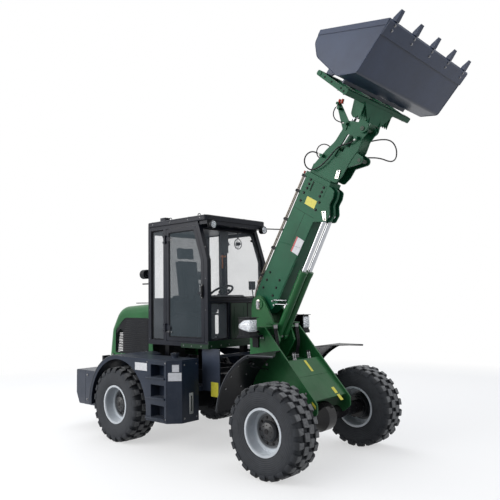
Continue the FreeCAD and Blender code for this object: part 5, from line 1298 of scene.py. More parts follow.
class Cab(Assembly):
    """Seals, fittings, controls, lamps and trim of the cab and its doors."""

    sizes = CabSizes()

    def build(self) -> None:
        """Builds every group of the cab's fittings."""
        self.seals()
        self.doors()
        self.cowl()
        self.screen()
        self.interior()
        self.controls()
        self.roof()
        self.lamps()
        self.mirror()

    def on_screen(self, y: float, z: float, off: float = 0.0) -> Point:
        """A point on the windscreen's outer face, which is upright to the knee and then leans back."""
        s = self.sizes
        if z <= s.knee_z:
            return (1.402 + off, y, z)
        return (s.screen_x - s.screen_fall * (z - s.knee_z) - 0.034 + off * 0.95, y, z + off * 0.3)

    def seals(self) -> None:
        """Black rubber beads round the fixed panes."""
        s = self.sizes
        beads = [self.bead([self.on_screen(-0.545, 2.072), self.on_screen(-0.545, s.knee_z),
            self.on_screen(-0.545, 3.060), self.on_screen(0.545, 3.060), self.on_screen(0.545, s.knee_z),
            self.on_screen(0.545, 2.072)], 0.035, 0.020)]
        for side in (-1, 1):
            low_pane = face("x", 1.403, (side * 0.216, 1.488), (side * 0.546, 1.992))
            beads.append(self.bead(low_pane, 0.025, 0.014))
            quarter = face("y", side * 0.5965, (0.192, 1.463), (0.468, 3.098))
            beads.append(self.bead(quarter, 0.035, 0.018))
        rear = face("x", 0.140, (-0.546, 2.068), (0.546, 3.062))
        beads.append(self.bead(rear, 0.040, 0.018))
        self.group(beads, "cab_seals", "seal_rubber", Body.REAR, Slot.PLASTIC)

    def doors(self) -> None:
        """Each door's seal, escutcheon, grip, key barrel, hinge bolts and inner pulls."""
        s = self.sizes
        ground = Datum.ground()
        for side, body, name in ((-1, Body.RIGHT_DOOR, "right"), (1, Body.LEFT_DOOR, "left")):
            y = side * s.door_face
            loop = [(s.door_rear, y, s.door_low), (s.door_front, y, s.door_low), (s.door_front, y, s.knee_z),
                (s.door_lean, y, s.door_top), (s.door_rear, y, s.door_top)]
            self.fit(self.bead(loop, 0.035, 0.016), "seal_rubber", body, Slot.PLASTIC,
                name + "_door_seal", ground)
            plate_in, plate_out = sorted((side * 0.6245, side * 0.632))
            trim = [self.block((1.292, plate_in, 2.060), (1.348, plate_out, 2.262), 0.004)]
            grip = [(1.332, side * 0.632, 2.088), (1.336, side * s.handle_y, 2.100),
                (1.336, side * s.handle_y, 2.220), (1.332, side * 0.632, 2.236)]
            trim.append(self.strip(grip, 0.014, 0.020))
            trim.append(self.strip([(1.310, side * 0.560, 1.90), (1.310, side * 0.535, 1.93),
                (1.310, side * 0.535, 2.20), (1.310, side * 0.560, 2.23)], 0.02, 0.018))
            trim.append(self.strip([(0.62, side * 0.560, 1.78), (0.62, side * 0.535, 1.80),
                (1.28, side * 0.535, 1.80), (1.28, side * 0.560, 1.78)], 0.03, 0.020))
            self.group(trim, name + "_door_handle", "black_plastic", body, Slot.PLASTIC)
            bright = [self.rod((1.312, side * 0.631, 2.118), (1.312, side * 0.638, 2.118), 0.0095,
                0.0015)]
            for z in (2.072, 2.250):
                bright.append(self.bolt((1.320, side * 0.632, z), (0, side, 0), 0.0045))
            for z in (1.580, 2.940):
                for x in (0.565, 0.600, 0.660):
                    bright.append(self.bolt((x, side * 0.6255, z), (0, side, 0), 0.0075))
            self.group(bright, name + "_door_bolts", "pin_steel", body, Slot.STEEL)

    def cowl(self) -> None:
        """Green wing beside the cowl, beads round both, sill bolts and the seam of the sill."""
        green = [self.slab([(1.431, 0.183, 1.474), (1.431, 0.400, 1.474), (1.431, 0.400, 1.900),
            (1.431, 0.330, 1.990), (1.431, 0.183, 1.990)], (0.007, 0, 0), 0.002)]
        for y in (-0.10, 0.10):
            green.append(self.strip([(1.4425, y, 1.50), (1.4425, y, 1.94)], 0.02, 0.008))
        self.group(green, "cowl_wing", "deep_green_enamel", Body.REAR, Slot.GREEN)
        beads = [self.bead(face("x", 1.441, (-0.176, 1.478), (0.176, 1.994)), 0.030, 0.014),
            self.bead([(1.440, 0.186, 1.480), (1.440, 0.398, 1.480), (1.440, 0.398, 1.900),
            (1.440, 0.330, 1.986), (1.440, 0.186, 1.986)], 0.025, 0.010),
            self.strip([(1.436, -0.60, 2.028), (1.436, 0.60, 2.028)], 0.02, 0.012)]
        self.group(beads, "cowl_beads", "seal_rubber", Body.REAR, Slot.PLASTIC)
        bolts = [self.bolt((1.4405, y, 1.40), (1, 0, 0), 0.008)
            for y in (-0.57, -0.38, -0.22, 0.22, 0.38, 0.57)]
        for side in (-1, 1):
            for x in (0.93, 1.10, 1.30):
                bolts.append(self.bolt((x, side * 0.6325, 1.395), (0, side, 0), 0.007))
            for x in (0.150, 1.395):
                for z in (1.46, 1.90, 2.34, 2.78):
                    bolts.append(self.bolt((x, side * 0.6245, z), (0, side, 0), 0.0055, washer=False))
        self.group(bolts, "cab_bolts", "pin_steel", Body.REAR, Slot.STEEL)

    def screen(self) -> None:
        """Wiper with its motor boss, arm, spring cover and blade, and a washer jet."""
        parts = [self.rod(self.on_screen(0.46, 2.935, -0.01), self.on_screen(0.46, 2.935, 0.030), 0.017,
            0.003), self.strip([self.on_screen(0.46, 2.935, 0.024), self.on_screen(0.478, 2.80, 0.036),
            self.on_screen(0.500, 2.66, 0.022)], 0.03, 0.011), self.strip([self.on_screen(0.462, 2.900,
            0.034), self.on_screen(0.472, 2.830, 0.038)], 0.01, 0.018),
            self.strip([self.on_screen(0.520, 2.88, 0.012), self.on_screen(0.508, 2.66, 0.014),
            self.on_screen(0.496, 2.46, 0.012)], 0.02, 0.010), self.strip([self.on_screen(0.520, 2.88,
            0.005), self.on_screen(0.508, 2.66, 0.005), self.on_screen(0.496, 2.46, 0.005)], 0.02, 0.006),
            self.rod(self.on_screen(0.40, 2.045, 0.0), self.on_screen(0.40, 2.045, 0.016), 0.010, 0.003)]
        self.group(parts, "wiper", "black_plastic", Body.REAR, Slot.PLASTIC)

    def interior(self) -> None:
        """Sun visor, fan, monitor, escape hammer, floor mat, pedals and coat hook."""
        dark = [self.slab(face("x", 1.222, (-0.174, 2.730), (0.008, 3.098)), (0.010, 0, 0), 0.003),
            self.block((1.318, 0.346, 2.180), (1.342, 0.480, 2.310), 0.006),
            self.strip([(1.335, 0.41, 2.19), (1.345, 0.41, 2.12), (1.360, 0.41, 2.04)], 0.02, 0.016),
            self.rod((1.013, 0.45, 3.10), (1.013, 0.45, 2.99), 0.012, 0.002),
            self.ring((1.013, 0.45, 2.91), (1, 0, 0), 0.080, 0.006),
            self.ring((0.985, 0.45, 2.91), (1, 0, 0), 0.055, 0.003),
            self.ring((0.985, 0.45, 2.91), (1, 0, 0), 0.030, 0.003),
            self.rod((0.985, 0.45, 2.91), (1.050, 0.45, 2.91), 0.026, 0.006)]
        for i in range(12):
            a = 2 * math.pi * i / 12
            dark.append(self.strip([(0.985, 0.45, 2.91), (0.988, 0.45 + 0.06 * math.cos(a),
                2.91 + 0.06 * math.sin(a)), (1.013, 0.45 + 0.08 * math.cos(a), 2.91 + 0.08 * math.sin(a))],
                0.01, 0.003))
        for y in (-0.16, 0.16):
            dark.append(self.block((1.06, y - 0.045, 1.475), (1.15, y + 0.045, 1.490), 0.004))
            dark.append(self.rod((1.15, y, 1.48), (1.185, y, 1.56), 0.012, 0.002))
        self.group(dark, "cab_fittings", "black_plastic", Body.REAR, Slot.PLASTIC)
        mat = [self.block((0.60, -0.53, 1.436), (1.17, 0.53, 1.446), 0.003)]
        mat += [self.strip([(0.64 + 0.045 * i, -0.50, 1.447), (0.64 + 0.045 * i, 0.50, 1.447)], 0.01,
            0.010) for i in range(12)]
        self.group(mat, "floor_mat", "floor_mat", Body.REAR, Slot.PLASTIC)
        hammer = [self.block((0.524, 0.556, 2.550), (0.556, 0.578, 2.770), 0.006),
            self.rod((0.515, 0.566, 2.740), (0.613, 0.566, 2.740), 0.014, 0.004)]
        self.group(hammer, "escape_hammer", "orange_plastic", Body.REAR, Slot.PLASTIC)

    def controls(self) -> None:
        """Wheel rim grip and knob, column stalks, console with joystick, armrests, and the seat belt reel."""
        s = self.sizes
        lean = math.radians(30)
        turn = Matrix.Translation(s.wheel_place) @ Matrix.Rotation(-lean, 4, "Y")
        parts = [self.ring(tuple(turn @ Vector((0, 0, 0))), tuple(turn.to_3x3() @ Vector((0, 0, 1))),
            0.185, 0.0162), self.rod(tuple(turn @ Vector((0, 0, 0.010))),
            tuple(turn @ Vector((0, 0, 0.024))), 0.042, 0.008), self.rod(tuple(turn @ Vector((0, 0.182,
            0.012))), tuple(turn @ Vector((0, 0.182, 0.050))), 0.020, 0.008)]
        for y in (-1, 1):
            parts.append(self.strip([tuple(turn @ Vector((0.0, y * 0.02, -0.07))),
                tuple(turn @ Vector((0.0, y * 0.12, -0.06))), tuple(turn @ Vector((0.0, y * 0.17, -0.05)))],
                0.02, 0.010))
        parts.append(self.block((0.42, -0.39, 1.85), (0.92, -0.29, 2.03), 0.018))
        parts.append(self.rod((0.85, -0.34, 2.03), (0.85, -0.34, 2.075), 0.040, 0.004, tip=0.018))
        parts.append(self.rod((0.85, -0.34, 2.07), (0.862, -0.34, 2.150), 0.008, 0.001))
        parts.append(self.rod((0.860, -0.34, 2.130), (0.872, -0.34, 2.235), 0.020, 0.010, tip=0.026))
        parts.append(self.block((0.36, 0.29, 2.02), (0.70, 0.35, 2.07), 0.018))
        parts.append(self.block((0.36, -0.36, 2.06), (0.70, -0.30, 2.11), 0.018))
        parts.append(self.block((0.30, 0.235, 1.82), (0.38, 0.275, 1.93), 0.008))
        for i in range(5):
            parts.append(self.rod((0.62 + 0.04 * i, -0.34, 2.030), (0.62 + 0.04 * i, -0.34, 2.044), 0.011,
                0.003))
        self.group(parts, "cab_controls", "black_plastic", Body.REAR, Slot.PLASTIC)
        bellows = [self.ring((0.60, 0.0, 1.455 + 0.02 * i), (0, 0, 1), 0.155, 0.012) for i in range(3)]
        self.group(bellows, "seat_bellows", "seal_rubber", Body.REAR, Slot.PLASTIC)

    def roof(self) -> None:
        """Drip rail, rolled lip, pressed ribs, hatch seam and bolts of the roof."""
        s = self.sizes
        trim = []
        for z, out, size in ((3.168, 0.6405, 0.010), (3.222, 0.6405, 0.006)):
            trim.append(self.bead(face("z", z, (0.108, -out), (1.4305, out)), 0.060, size))
        for y in (-0.42, -0.21, 0.21, 0.42):
            trim.append(self.strip([(0.25, y, 3.2405), (1.28, y, 3.2405)], 0.02, 0.012))
        trim.append(self.bead(face("z", 3.241, (0.30, -0.15), (0.80, 0.15)), 0.04, 0.010))
        self.group(trim, "roof_trim", "cab_enamel", Body.REAR, Slot.BLACK)
        bolts = []
        for side in (-1, 1):
            bolts += [self.bolt((x, side * 0.60, 3.2405), (0, 0, 1), 0.008)
                for x in (0.19, 0.60, 1.02, 1.36)]
            bolts += [self.bolt((x, side * (s.half + 0.0165), 3.200), (0, side, 0), 0.006)
                for x in (0.25, 0.65, 1.05, 1.30)]
        self.group(bolts, "roof_bolts", "pin_steel", Body.REAR, Slot.STEEL)

    def lamps(self) -> None:
        """Work lamps on the roof's front corners, and lamps on the rear stalks."""
        bezels, bowls, lenses = [], [], []
        for side in (-1, 1):
            front = self.lamp((1.478, side * 0.545, 3.097), (1, 0, 0), 0.056)
            bracket = self.bead([(1.436, side * 0.61, 3.05), (1.436, side * 0.61, 3.14),
                (1.436, side * 0.48, 3.14), (1.436, side * 0.48, 3.05)], 0.02, 0.010)
            rear = self.lamp((-0.046, side * 0.594, 2.450), (-1, 0, 0), 0.066)
            bezels += [front[0], bracket, rear[0]]
            bowls += [front[1], rear[1]]
            lenses += [front[2], rear[2]]
        self.group(bezels, "work_lamp_bezels", "black_plastic", Body.REAR, Slot.PLASTIC)
        self.group(bowls, "work_lamp_bowls", "lamp_bowl", Body.REAR, Slot.SILVER)
        self.group(lenses, "work_lamp_lenses", "lens_glass", Body.REAR, Slot.GLASS)

    def mirror(self) -> None:
        """The mirror's silvered glass with its rubber edge and shell ribs."""
        low, high, x = (0.700, 2.652), (0.860, 2.858), 1.7145
        corners = face("x", x, (low[0], low[1]), (high[0], high[1]))
        self.fit(self.slab(corners, (-0.002, 0, 0), 0.0006), "mirror_silver", Body.REAR,
            Slot.CHROME, "mirror_glass", Datum.ground())
        edge = [self.bead(corners, 0.02, 0.010)]
        edge += [self.strip([(1.7505, 0.715, z), (1.7505, 0.845, z)], 0.01, 0.006)
            for z in (2.70, 2.755, 2.81)]
        self.group(edge, "mirror_trim", "seal_rubber", Body.REAR, Slot.PLASTIC)


# ---- seat ----
@dataclass
class Pad:
    """One upholstered pad: its box in the datum, lean, crown and seams."""

    name: str
    low: Point
    high: Point
    finish: str
    lean: float
    channels: tuple[float, ...]
    rise: int


class Seat(Assembly):
    """Cloth-covered cushion, back and headrest, puffed up by a cloth simulation and then sewn."""

    foot: Point = (0.322, 0.0, 1.962)
    pads: tuple[Pad, ...] = ( Pad("seat_cushion_pad", (0.356, -0.226, 1.838), (0.806, 0.226, 1.936),
        "seat_cloth", 0.0, (-0.12, 0.12), 2), Pad("seat_back_pad", (0.012, -0.214, 0.012),
        (0.108, 0.214, 0.700), "seat_cloth", 8.0, (-0.11, 0.11), 0),
        Pad("seat_head_pad", (0.018, -0.160, 0.728), (0.100, 0.160, 0.908), "headrest_cloth", 8.0, (), 0))

    def build(self) -> None:
        """Makes every pad and the piping round it."""
        for pad in self.pads:
            self.pad(pad)
        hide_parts("seat_cushion")
        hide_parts("seat_back")

    def frame(self, pad: Pad) -> Matrix:
        """Where a pad is drawn: the datum for the cushion, the leaning back's own axes for the rest."""
        if pad.lean == 0.0:
            return Datum.ground()
        return Datum.ground() @ Matrix.Translation(self.foot) @ Matrix.Rotation(-math.radians(pad.lean), 4, "Y")

    def pad(self, pad: Pad) -> Piece:
        """Models one pad.

        Args:
            pad: Its sizes, finish and seams.

        Returns:
            The finished pad.
        """
        piece = self.block(pad.low, pad.high, 0.024, pad.name)
        self.modify(piece, "REMESH", mode="VOXEL", voxel_size=0.0075, use_smooth_shade=True)
        start = [v.co.copy() for v in piece.data.vertices]
        self.puff(piece)
        for vertex, place in zip(piece.data.vertices, start):
            step = vertex.co - place
            if step.length > 0.016:
                vertex.co = place + step.normalized() * 0.016
        self.sew(piece, pad)
        self.modify(piece, "SUBSURF", levels=1, render_levels=1)
        self.pick(piece)
        bpy.ops.object.shade_smooth()
        cord = self.piping(piece, pad)
        self.fit(piece, pad.finish, Body.REAR, Slot.FABRIC, pad.name, self.frame(pad))
        self.fit(cord, "seat_piping", Body.REAR, Slot.FABRIC, pad.name + "_piping", self.frame(pad))
        return piece

    def puff(self, piece: Piece) -> None:
        """Inflates the pad as cloth under pressure and keeps the result."""
        self.pick(piece)
        cloth = piece.modifiers.new("puff", "CLOTH")
        cloth.settings.quality = 5
        cloth.settings.use_pressure = True
        cloth.settings.uniform_pressure_force = 4.0
        cloth.settings.effector_weights.gravity = 0.0
        cloth.collision_settings.use_collision = False
        cloth.point_cache.frame_start = 1
        cloth.point_cache.frame_end = 20
        for step in range(1, 21):
            bpy.context.scene.frame_set(step)
        bpy.ops.object.modifier_apply(modifier=cloth.name)
        bpy.context.scene.frame_set(1)

    def sew(self, piece: Piece, pad: Pad) -> None:
        """Pulls the sewn channels into the front face and a cross seam between them."""
        middle = [(a + b) / 2 for a, b in zip(pad.low, pad.high)]
        thin = pad.rise
        across = 0 if thin == 2 else 2
        seams = (middle[across] + 0.10 * (pad.high[across] - pad.low[across]),) if pad.channels else ()
        for vertex in piece.data.vertices:
            if vertex.co[thin] < middle[thin]:
                continue
            pull = sum(math.exp(-((vertex.co.y - y) / 0.008) ** 2) for y in pad.channels)
            pull += sum(math.exp(-((vertex.co[across] - c) / 0.008) ** 2)
                for c in seams if abs(vertex.co.y) < 0.12)
            vertex.co[thin] -= 0.007 * min(pull, 1.2)

    def piping(self, piece: Piece, pad: Pad) -> Piece:
        """A round piping sewn where the front face meets the sides, laid on the pad's own surface."""
        thin = pad.rise
        wide = [i for i in range(3) if i != thin]
        level = pad.high[thin] - 0.026
        loop: list[Point] = []
        for i in range(48):
            a = 2 * math.pi * (i + 0.5) / 48
            place = [0.0, 0.0, 0.0]
            for index, value in zip(wide, (math.cos(a), math.sin(a))):
                half = (pad.high[index] - pad.low[index]) / 2
                place[index] = (pad.high[index] + pad.low[index]) / 2 + (half + 0.03) * max(-1.0,
                    min(1.0, 1.42 * value))
            place[thin] = level
            spot, normal = piece.closest_point_on_mesh(place)[1:3]
            loop.append(tuple(spot + normal * 0.001))
        return self.bead(loop, 0.004, 0.007)


# ---- rear body ----
@dataclass
class RearSizes:
    """Places on the rear frame's bodywork, in the datum."""

    tank_side: float = 1.172
    tank_front: float = 1.345
    step_face: float = 1.186
    step_rise: float = 0.268
    step_low: float = 0.474
    step_x: tuple[float, float] = (0.867, 1.150)
    grille_face: float = 0.4975
    hood_half: float = 0.500
    hood_rear: float = -1.150
    arch: tuple[float, float] = (0.090, 0.530)
    guard_radius: float = 0.735
    weight_back: float = -1.610


class RearBody(Assembly):
    """Grilles, latches, lamps, steps, caps, gauges, films and bolts of the rear frame."""

    sizes = RearSizes()

    def build(self) -> None:
        """Builds every group of the rear frame's fittings."""
        self.grilles()
        self.hood()
        self.tail()
        self.steps()
        self.tank()
        self.guards()
        self.weight()

    def grilles(self) -> None:
        """Pressed slats, a rim and a wire mesh on each side screen, and the rear grille."""
        s = self.sizes
        slats, mesh = [], []
        for side in (-1, 1):
            y0, y1 = sorted((side * (s.grille_face - 0.002), side * (s.grille_face + 0.004)))
            for i in range(16):
                z = 1.232 + 0.032 * i
                start = -0.700 + 0.10 * max(0.0, (z - 1.50) / 0.24)
                slats.append(self.block((start, y0, z), (-0.075, y1, z + 0.012), 0.003))
            loop = [(-0.918, side * 0.498, 1.196), (-0.046, side * 0.498, 1.196), (-0.046, side * 0.498, 1.762),
                (-0.660, side * 0.498, 1.762), (-0.895, side * 0.498, 1.600), (-0.912, side * 0.498, 1.500)]
            slats.append(self.bead(loop, 0.040, 0.010))
            for i in range(9):
                x = -0.898 + 0.022 * i
                mesh.append(self.strip([(x, side * 0.491, 1.215),
                    (x, side * 0.491, min(1.635, 1.50 + 0.74 * (x + 0.90)))], 0.002, 0.003))
            for i in range(18):
                z = 1.222 + 0.022 * i
                left = -0.906 if z < 1.50 else -0.906 + (z - 1.50) * 1.30
                mesh.append(self.strip([(left, side * 0.4915, z), (-0.722, side * 0.4915, z)], 0.002,
                    0.003))
        for i in range(11):
            z = 1.200 + 0.028 * i
            x = s.hood_rear + 0.012 + (z - 1.18) * 0.145
            slats.append(self.slab([(x, -0.302, z), (x, 0.302, z), (x + 0.020, 0.302, z + 0.012),
                (x + 0.020, -0.302, z + 0.012)], (0.004, 0, -0.004), 0.001))
        for y in (-0.15, 0.0, 0.15):
            slats.append(self.slab([(s.hood_rear + 0.016, y - 0.008, 1.185),
                (s.hood_rear + 0.016, y + 0.008, 1.185), (s.hood_rear + 0.060, y + 0.008, 1.495),
                (s.hood_rear + 0.060, y - 0.008, 1.495)], (0.012, 0, 0), 0.002))
        self.group(slats, "grille_slats", "black_enamel", Body.HOOD, Slot.BLACK)
        self.group(mesh, "grille_mesh", "black_enamel", Body.HOOD, Slot.BLACK)

    def hood(self) -> None:
        """Latches, lifting handle, rubber lower edge and top louvres of the hood."""
        s = self.sizes
        dark, bolts, edge = [], [], []
        for side in (-1, 1):
            y0, y1 = sorted((side * s.hood_half, side * (s.hood_half + 0.010)))
            for x in (-0.98, -0.10):
                dark.append(self.block((x - 0.022, y0, 1.135), (x + 0.022, y1, 1.178), 0.004))
                bolts.append(self.rod((x, side * 0.508, 1.156), (x, side * 0.514, 1.156), 0.010, 0.002))
            edge.append(self.strip([(-1.135, side * 0.4995, 1.122), (0.055, side * 0.4995, 1.122)], 0.01,
                0.014))
            for i in range(6):
                x = -0.62 + 0.07 * i
                dark.append(self.strip([(x, side * 0.16, 2.001), (x, side * 0.30, 2.001)], 0.01, 0.014))
        dark.append(self.strip([(-1.118, -0.11, 1.545), (-1.155, -0.10, 1.548), (-1.155, 0.10, 1.548),
            (-1.118, 0.11, 1.545)], 0.015, 0.016))
        self.group(dark, "hood_fittings", "black_plastic", Body.HOOD, Slot.PLASTIC)
        self.group(bolts, "hood_locks", "zinc_plate", Body.HOOD, Slot.STEEL)
        self.group(edge, "hood_edges", "seal_rubber", Body.HOOD, Slot.PLASTIC)

    def tail(self) -> None:
        """Tail lamps, reflectors and the blank plate holder on the counterweight's back."""
        s = self.sizes
        x = s.weight_back
        dark, red, amber, white = [], [], [], []
        for side in (-1, 1):
            y0, y1 = sorted((side * 0.545, side * 0.725))
            dark.append(self.block((x - 0.004, y0, 0.730), (x + 0.020, y1, 0.818), 0.005))
            span = (y1 - y0) / 3
            for i, group in enumerate((red, amber, white)):
                index = i if side < 0 else 2 - i
                group.append(self.block((x - 0.009, y0 + 0.007 + span * index, 0.738),
                    (x + 0.004, y0 + span * (index + 1) - 0.007, 0.810), 0.004))
        dark.append(self.block((x - 0.003, -0.26, 0.735), (x + 0.010, 0.26, 0.850), 0.004))
        ground = Datum.ground()
        self.group(dark, "tail_housings", "black_plastic", Body.REAR, Slot.PLASTIC)
        self.group(red, "tail_red", "red_lens", Body.REAR, Slot.GLASS)
        self.group(amber, "tail_amber", "amber_lens", Body.REAR, Slot.GLASS)
        self.group(white, "tail_white", "lens_glass", Body.REAR, Slot.GLASS)
        self.fit(self.block((x - 0.006, -0.250, 0.742), (x - 0.002, 0.250, 0.843), 0.0015),
            "white_film", Body.REAR, Slot.SILVER, "blank_plate", ground)

    def steps(self) -> None:
        """Saw-toothed treads, raised studs and edge strips on both step stacks."""
        s = self.sizes
        teeth = []
        for side in (-1, 1):
            for i in range(3):
                z = s.step_low + s.step_rise * i
                tooth = self.rod((0, 0, 0), (0, 0, 0.010), 0.0075, 0.0, "tooth", 5, 0.003)
                places = [Matrix.Translation((s.step_x[0] + 0.012 + 0.026 * j,
                    side * (s.step_face - 0.009 - 0.030 * k), z - 0.0005)) for j in range(11) for k in range(5)]
                teeth.append(self.copies(tooth, places, "studs"))
                front = sorted((side * (s.step_face - 0.002), side * (s.step_face + 0.003)))
                teeth.append(self.block((s.step_x[0] - 0.10, front[0], z - 0.020),
                    (s.step_x[1] + 0.008, front[1], z - 0.004), 0.001))
        self.group(teeth, "step_treads", "dark_slate_enamel", Body.REAR, Slot.SLATE)

    def tank(self) -> None:
        """Filler cap grips, sight gauge, drain plug, front bolts, seams and blank films."""
        s = self.sizes
        ground = Datum.ground()
        grips = [self.block((1.0 + 0.0565 * math.cos(a) - 0.006, -0.850 + 0.0565 * math.sin(a) - 0.006,
            1.276), (1.0 + 0.0565 * math.cos(a) + 0.006, -0.850 + 0.0565 * math.sin(a) + 0.006, 1.306), 0.003)
            for a in (2 * math.pi * i / 12 for i in range(12))]
        grips.append(self.block((0.955, -0.858, 1.305), (1.045, -0.842, 1.318), 0.004))
        self.group(grips, "filler_cap_grips", "black_plastic", Body.REAR, Slot.PLASTIC)
        gauge = [self.block((s.tank_front, -0.905, 0.522), (s.tank_front + 0.012, -0.836, 0.802), 0.006)]
        self.group(gauge, "sight_gauge", "pale_plastic", Body.REAR, Slot.PLASTIC)
        slot = self.block((s.tank_front + 0.009, -0.880, 0.560), (s.tank_front + 0.015, -0.861, 0.764),
            0.003)
        self.fit(slot, "shadow_black", Body.REAR, Slot.PLASTIC, "sight_tube", ground)
        bolts = []
        for side in (-1, 1):
            for y, z in ((0.770, 1.180), (0.770, 0.480), (0.985, 1.180), (0.985, 0.480)):
                bolts.append(self.bolt((s.tank_front, side * y, z), (1, 0, 0), 0.009))
            for x, z in ((0.79, 1.205), (1.175, 1.205), (1.175, 0.470)):
                bolts.append(self.bolt((x, side * s.tank_side, z), (0, side, 0), 0.008))
            bolts.append(self.rod((1.25, side * 0.90, 0.4205), (1.25, side * 0.90, 0.4125), 0.022, 0.002,
                sides=6))
        self.group(bolts, "tank_bolts", "pin_steel", Body.REAR, Slot.STEEL)
        seams = []
        for side in (-1, 1):
            seams.append(self.strip([(0.80, side * 1.1725, 1.2255), (1.199, side * 1.1725, 1.2255),
                (1.3455, side * 1.0265, 1.2255), (1.3455, side * 0.735, 1.2255)], 0.01, 0.006))
            seams.append(self.strip([(1.1975, side * 1.1745, 0.44), (1.1975, side * 1.1745, 1.225)], 0.01,
                0.005))
        self.group(seams, "tank_seams", "dark_slate_enamel", Body.REAR, Slot.SLATE)
        out = 0.0012
        films = (("tank_film_white", (1.253, -1.119, 1.093), (1.318, -1.054, 1.187)),
            ("tank_film_low", (1.215, -1.157, 0.975), (1.341, -1.031, 1.083)))
        for name, (x0, y0, z0), (x1, y1, z1) in films:
            corners = [(x0 + out, y0 - out, z0), (x1 + out, y1 - out, z0), (x1 + out, y1 - out, z1),
                (x0 + out, y0 - out, z1)]
            self.fit(self.slab(corners, (0.0006, -0.0006, 0), 0.0003), "white_film", Body.REAR,
                Slot.SILVER, name, ground)
        self.fit(self.slab(face("y", -1.1724, (0.515, 1.080), (0.786, 1.185)), (0, -0.0009, 0),
            0.0003), "white_film", Body.REAR, Slot.SILVER, "side_film", ground)
        self.fit(self.slab(face("y", -0.5752, (1.429, 0.72), (1.570, 0.915)), (0, -0.0009, 0),
            0.0003), "yellow_film", Body.REAR, Slot.SILVER, "column_film", ground)

    def guards(self) -> None:
        """Rolled edges and bolts of the rear guards."""
        s = self.sizes
        edges, bolts = [], []
        for side in (-1, 1):
            arc = [(s.arch[0] + (s.guard_radius - 0.008) * math.cos(a), side * (s.tank_side - 0.002),
                s.arch[1] + (s.guard_radius - 0.008) * math.sin(a)) for a in (math.radians(d)
                for d in range(80, 182, 6))]
            edges.append(self.strip(arc, 0.03, 0.014))
            for degrees in (95, 115, 135, 155, 172):
                a = math.radians(degrees)
                for y in (0.60, 1.05):
                    bolts.append(self.bolt((s.arch[0] + s.guard_radius * math.cos(a), side * y,
                        s.arch[1] + s.guard_radius * math.sin(a)), (math.cos(a), 0, math.sin(a)), 0.008))
        self.group(edges, "rear_guard_edges", "grey_plastic", Body.REAR, Slot.PLASTIC)
        self.group(bolts, "rear_guard_bolts", "pin_steel", Body.REAR, Slot.STEEL)

    def weight(self) -> None:
        """Casting bosses, bolts, tow pin with its ring and the parting line of the counterweight."""
        s = self.sizes
        x = s.weight_back
        bolts, lines = [], []
        for side in (-1, 1):
            for z in (0.45, 0.60):
                bolts.append(self.bolt((x if z > 0.5 else x + 0.044, side * 0.36, z), (-1, 0, 0),
                    0.020))
            for px, pz in ((-0.93, 0.83), (-0.93, 0.74), (-1.28, 0.83), (-1.28, 0.43)):
                bolts.append(self.bolt((px, side * 0.8005, pz), (0, side, 0), 0.014))
            lines.append(self.strip([(-0.865, side * 0.8005, 0.892), (-1.585, side * 0.8005, 0.892)],
                0.01, 0.006))
            lines.append(self.strip([(-1.34, side * 0.8005, 0.36), (-1.34, side * 0.8005, 0.895)], 0.01,
                0.005))
            lines.append(self.strip([(-1.50, side * 0.45, 0.906), (-1.50, side * 0.45, 0.935),
                (-1.40, side * 0.45, 0.935), (-1.40, side * 0.45, 0.906)], 0.012, 0.020))
        pin = [self.rod((-1.550, 0.0, 0.475), (-1.550, 0.0, 0.918), 0.0150, 0.003),
            self.rod((-1.550, 0.0, 0.9055), (-1.550, 0.0, 0.925), 0.026, 0.004),
            self.ring((-1.550, 0.0, 0.950), (0, 1, 0), 0.026, 0.005)]
        self.group(bolts, "weight_bolts", "pin_steel", Body.REAR, Slot.STEEL)
        self.group(lines, "weight_lines", "slate_enamel", Body.REAR, Slot.SLATE)
        self.group(pin, "tow_pin", "zinc_plate", Body.REAR, Slot.STEEL)


# ---- front frame ----

@dataclass
class FrontSizes:
    """Places on the front frame, in the datum."""

    plate_face: float = 0.380
    boss_face: float = 0.192
    lamp_low: Point = (2.10, 0.500, 1.569)
    cover_top: Point = (2.575, 0.0, 1.243)
    cover_fall: float = -1.066
    guard_start: float = 112.0
    guard_radius: float = 0.910
    guard_edge: float = 1.000
    tip_x: float = 2.895


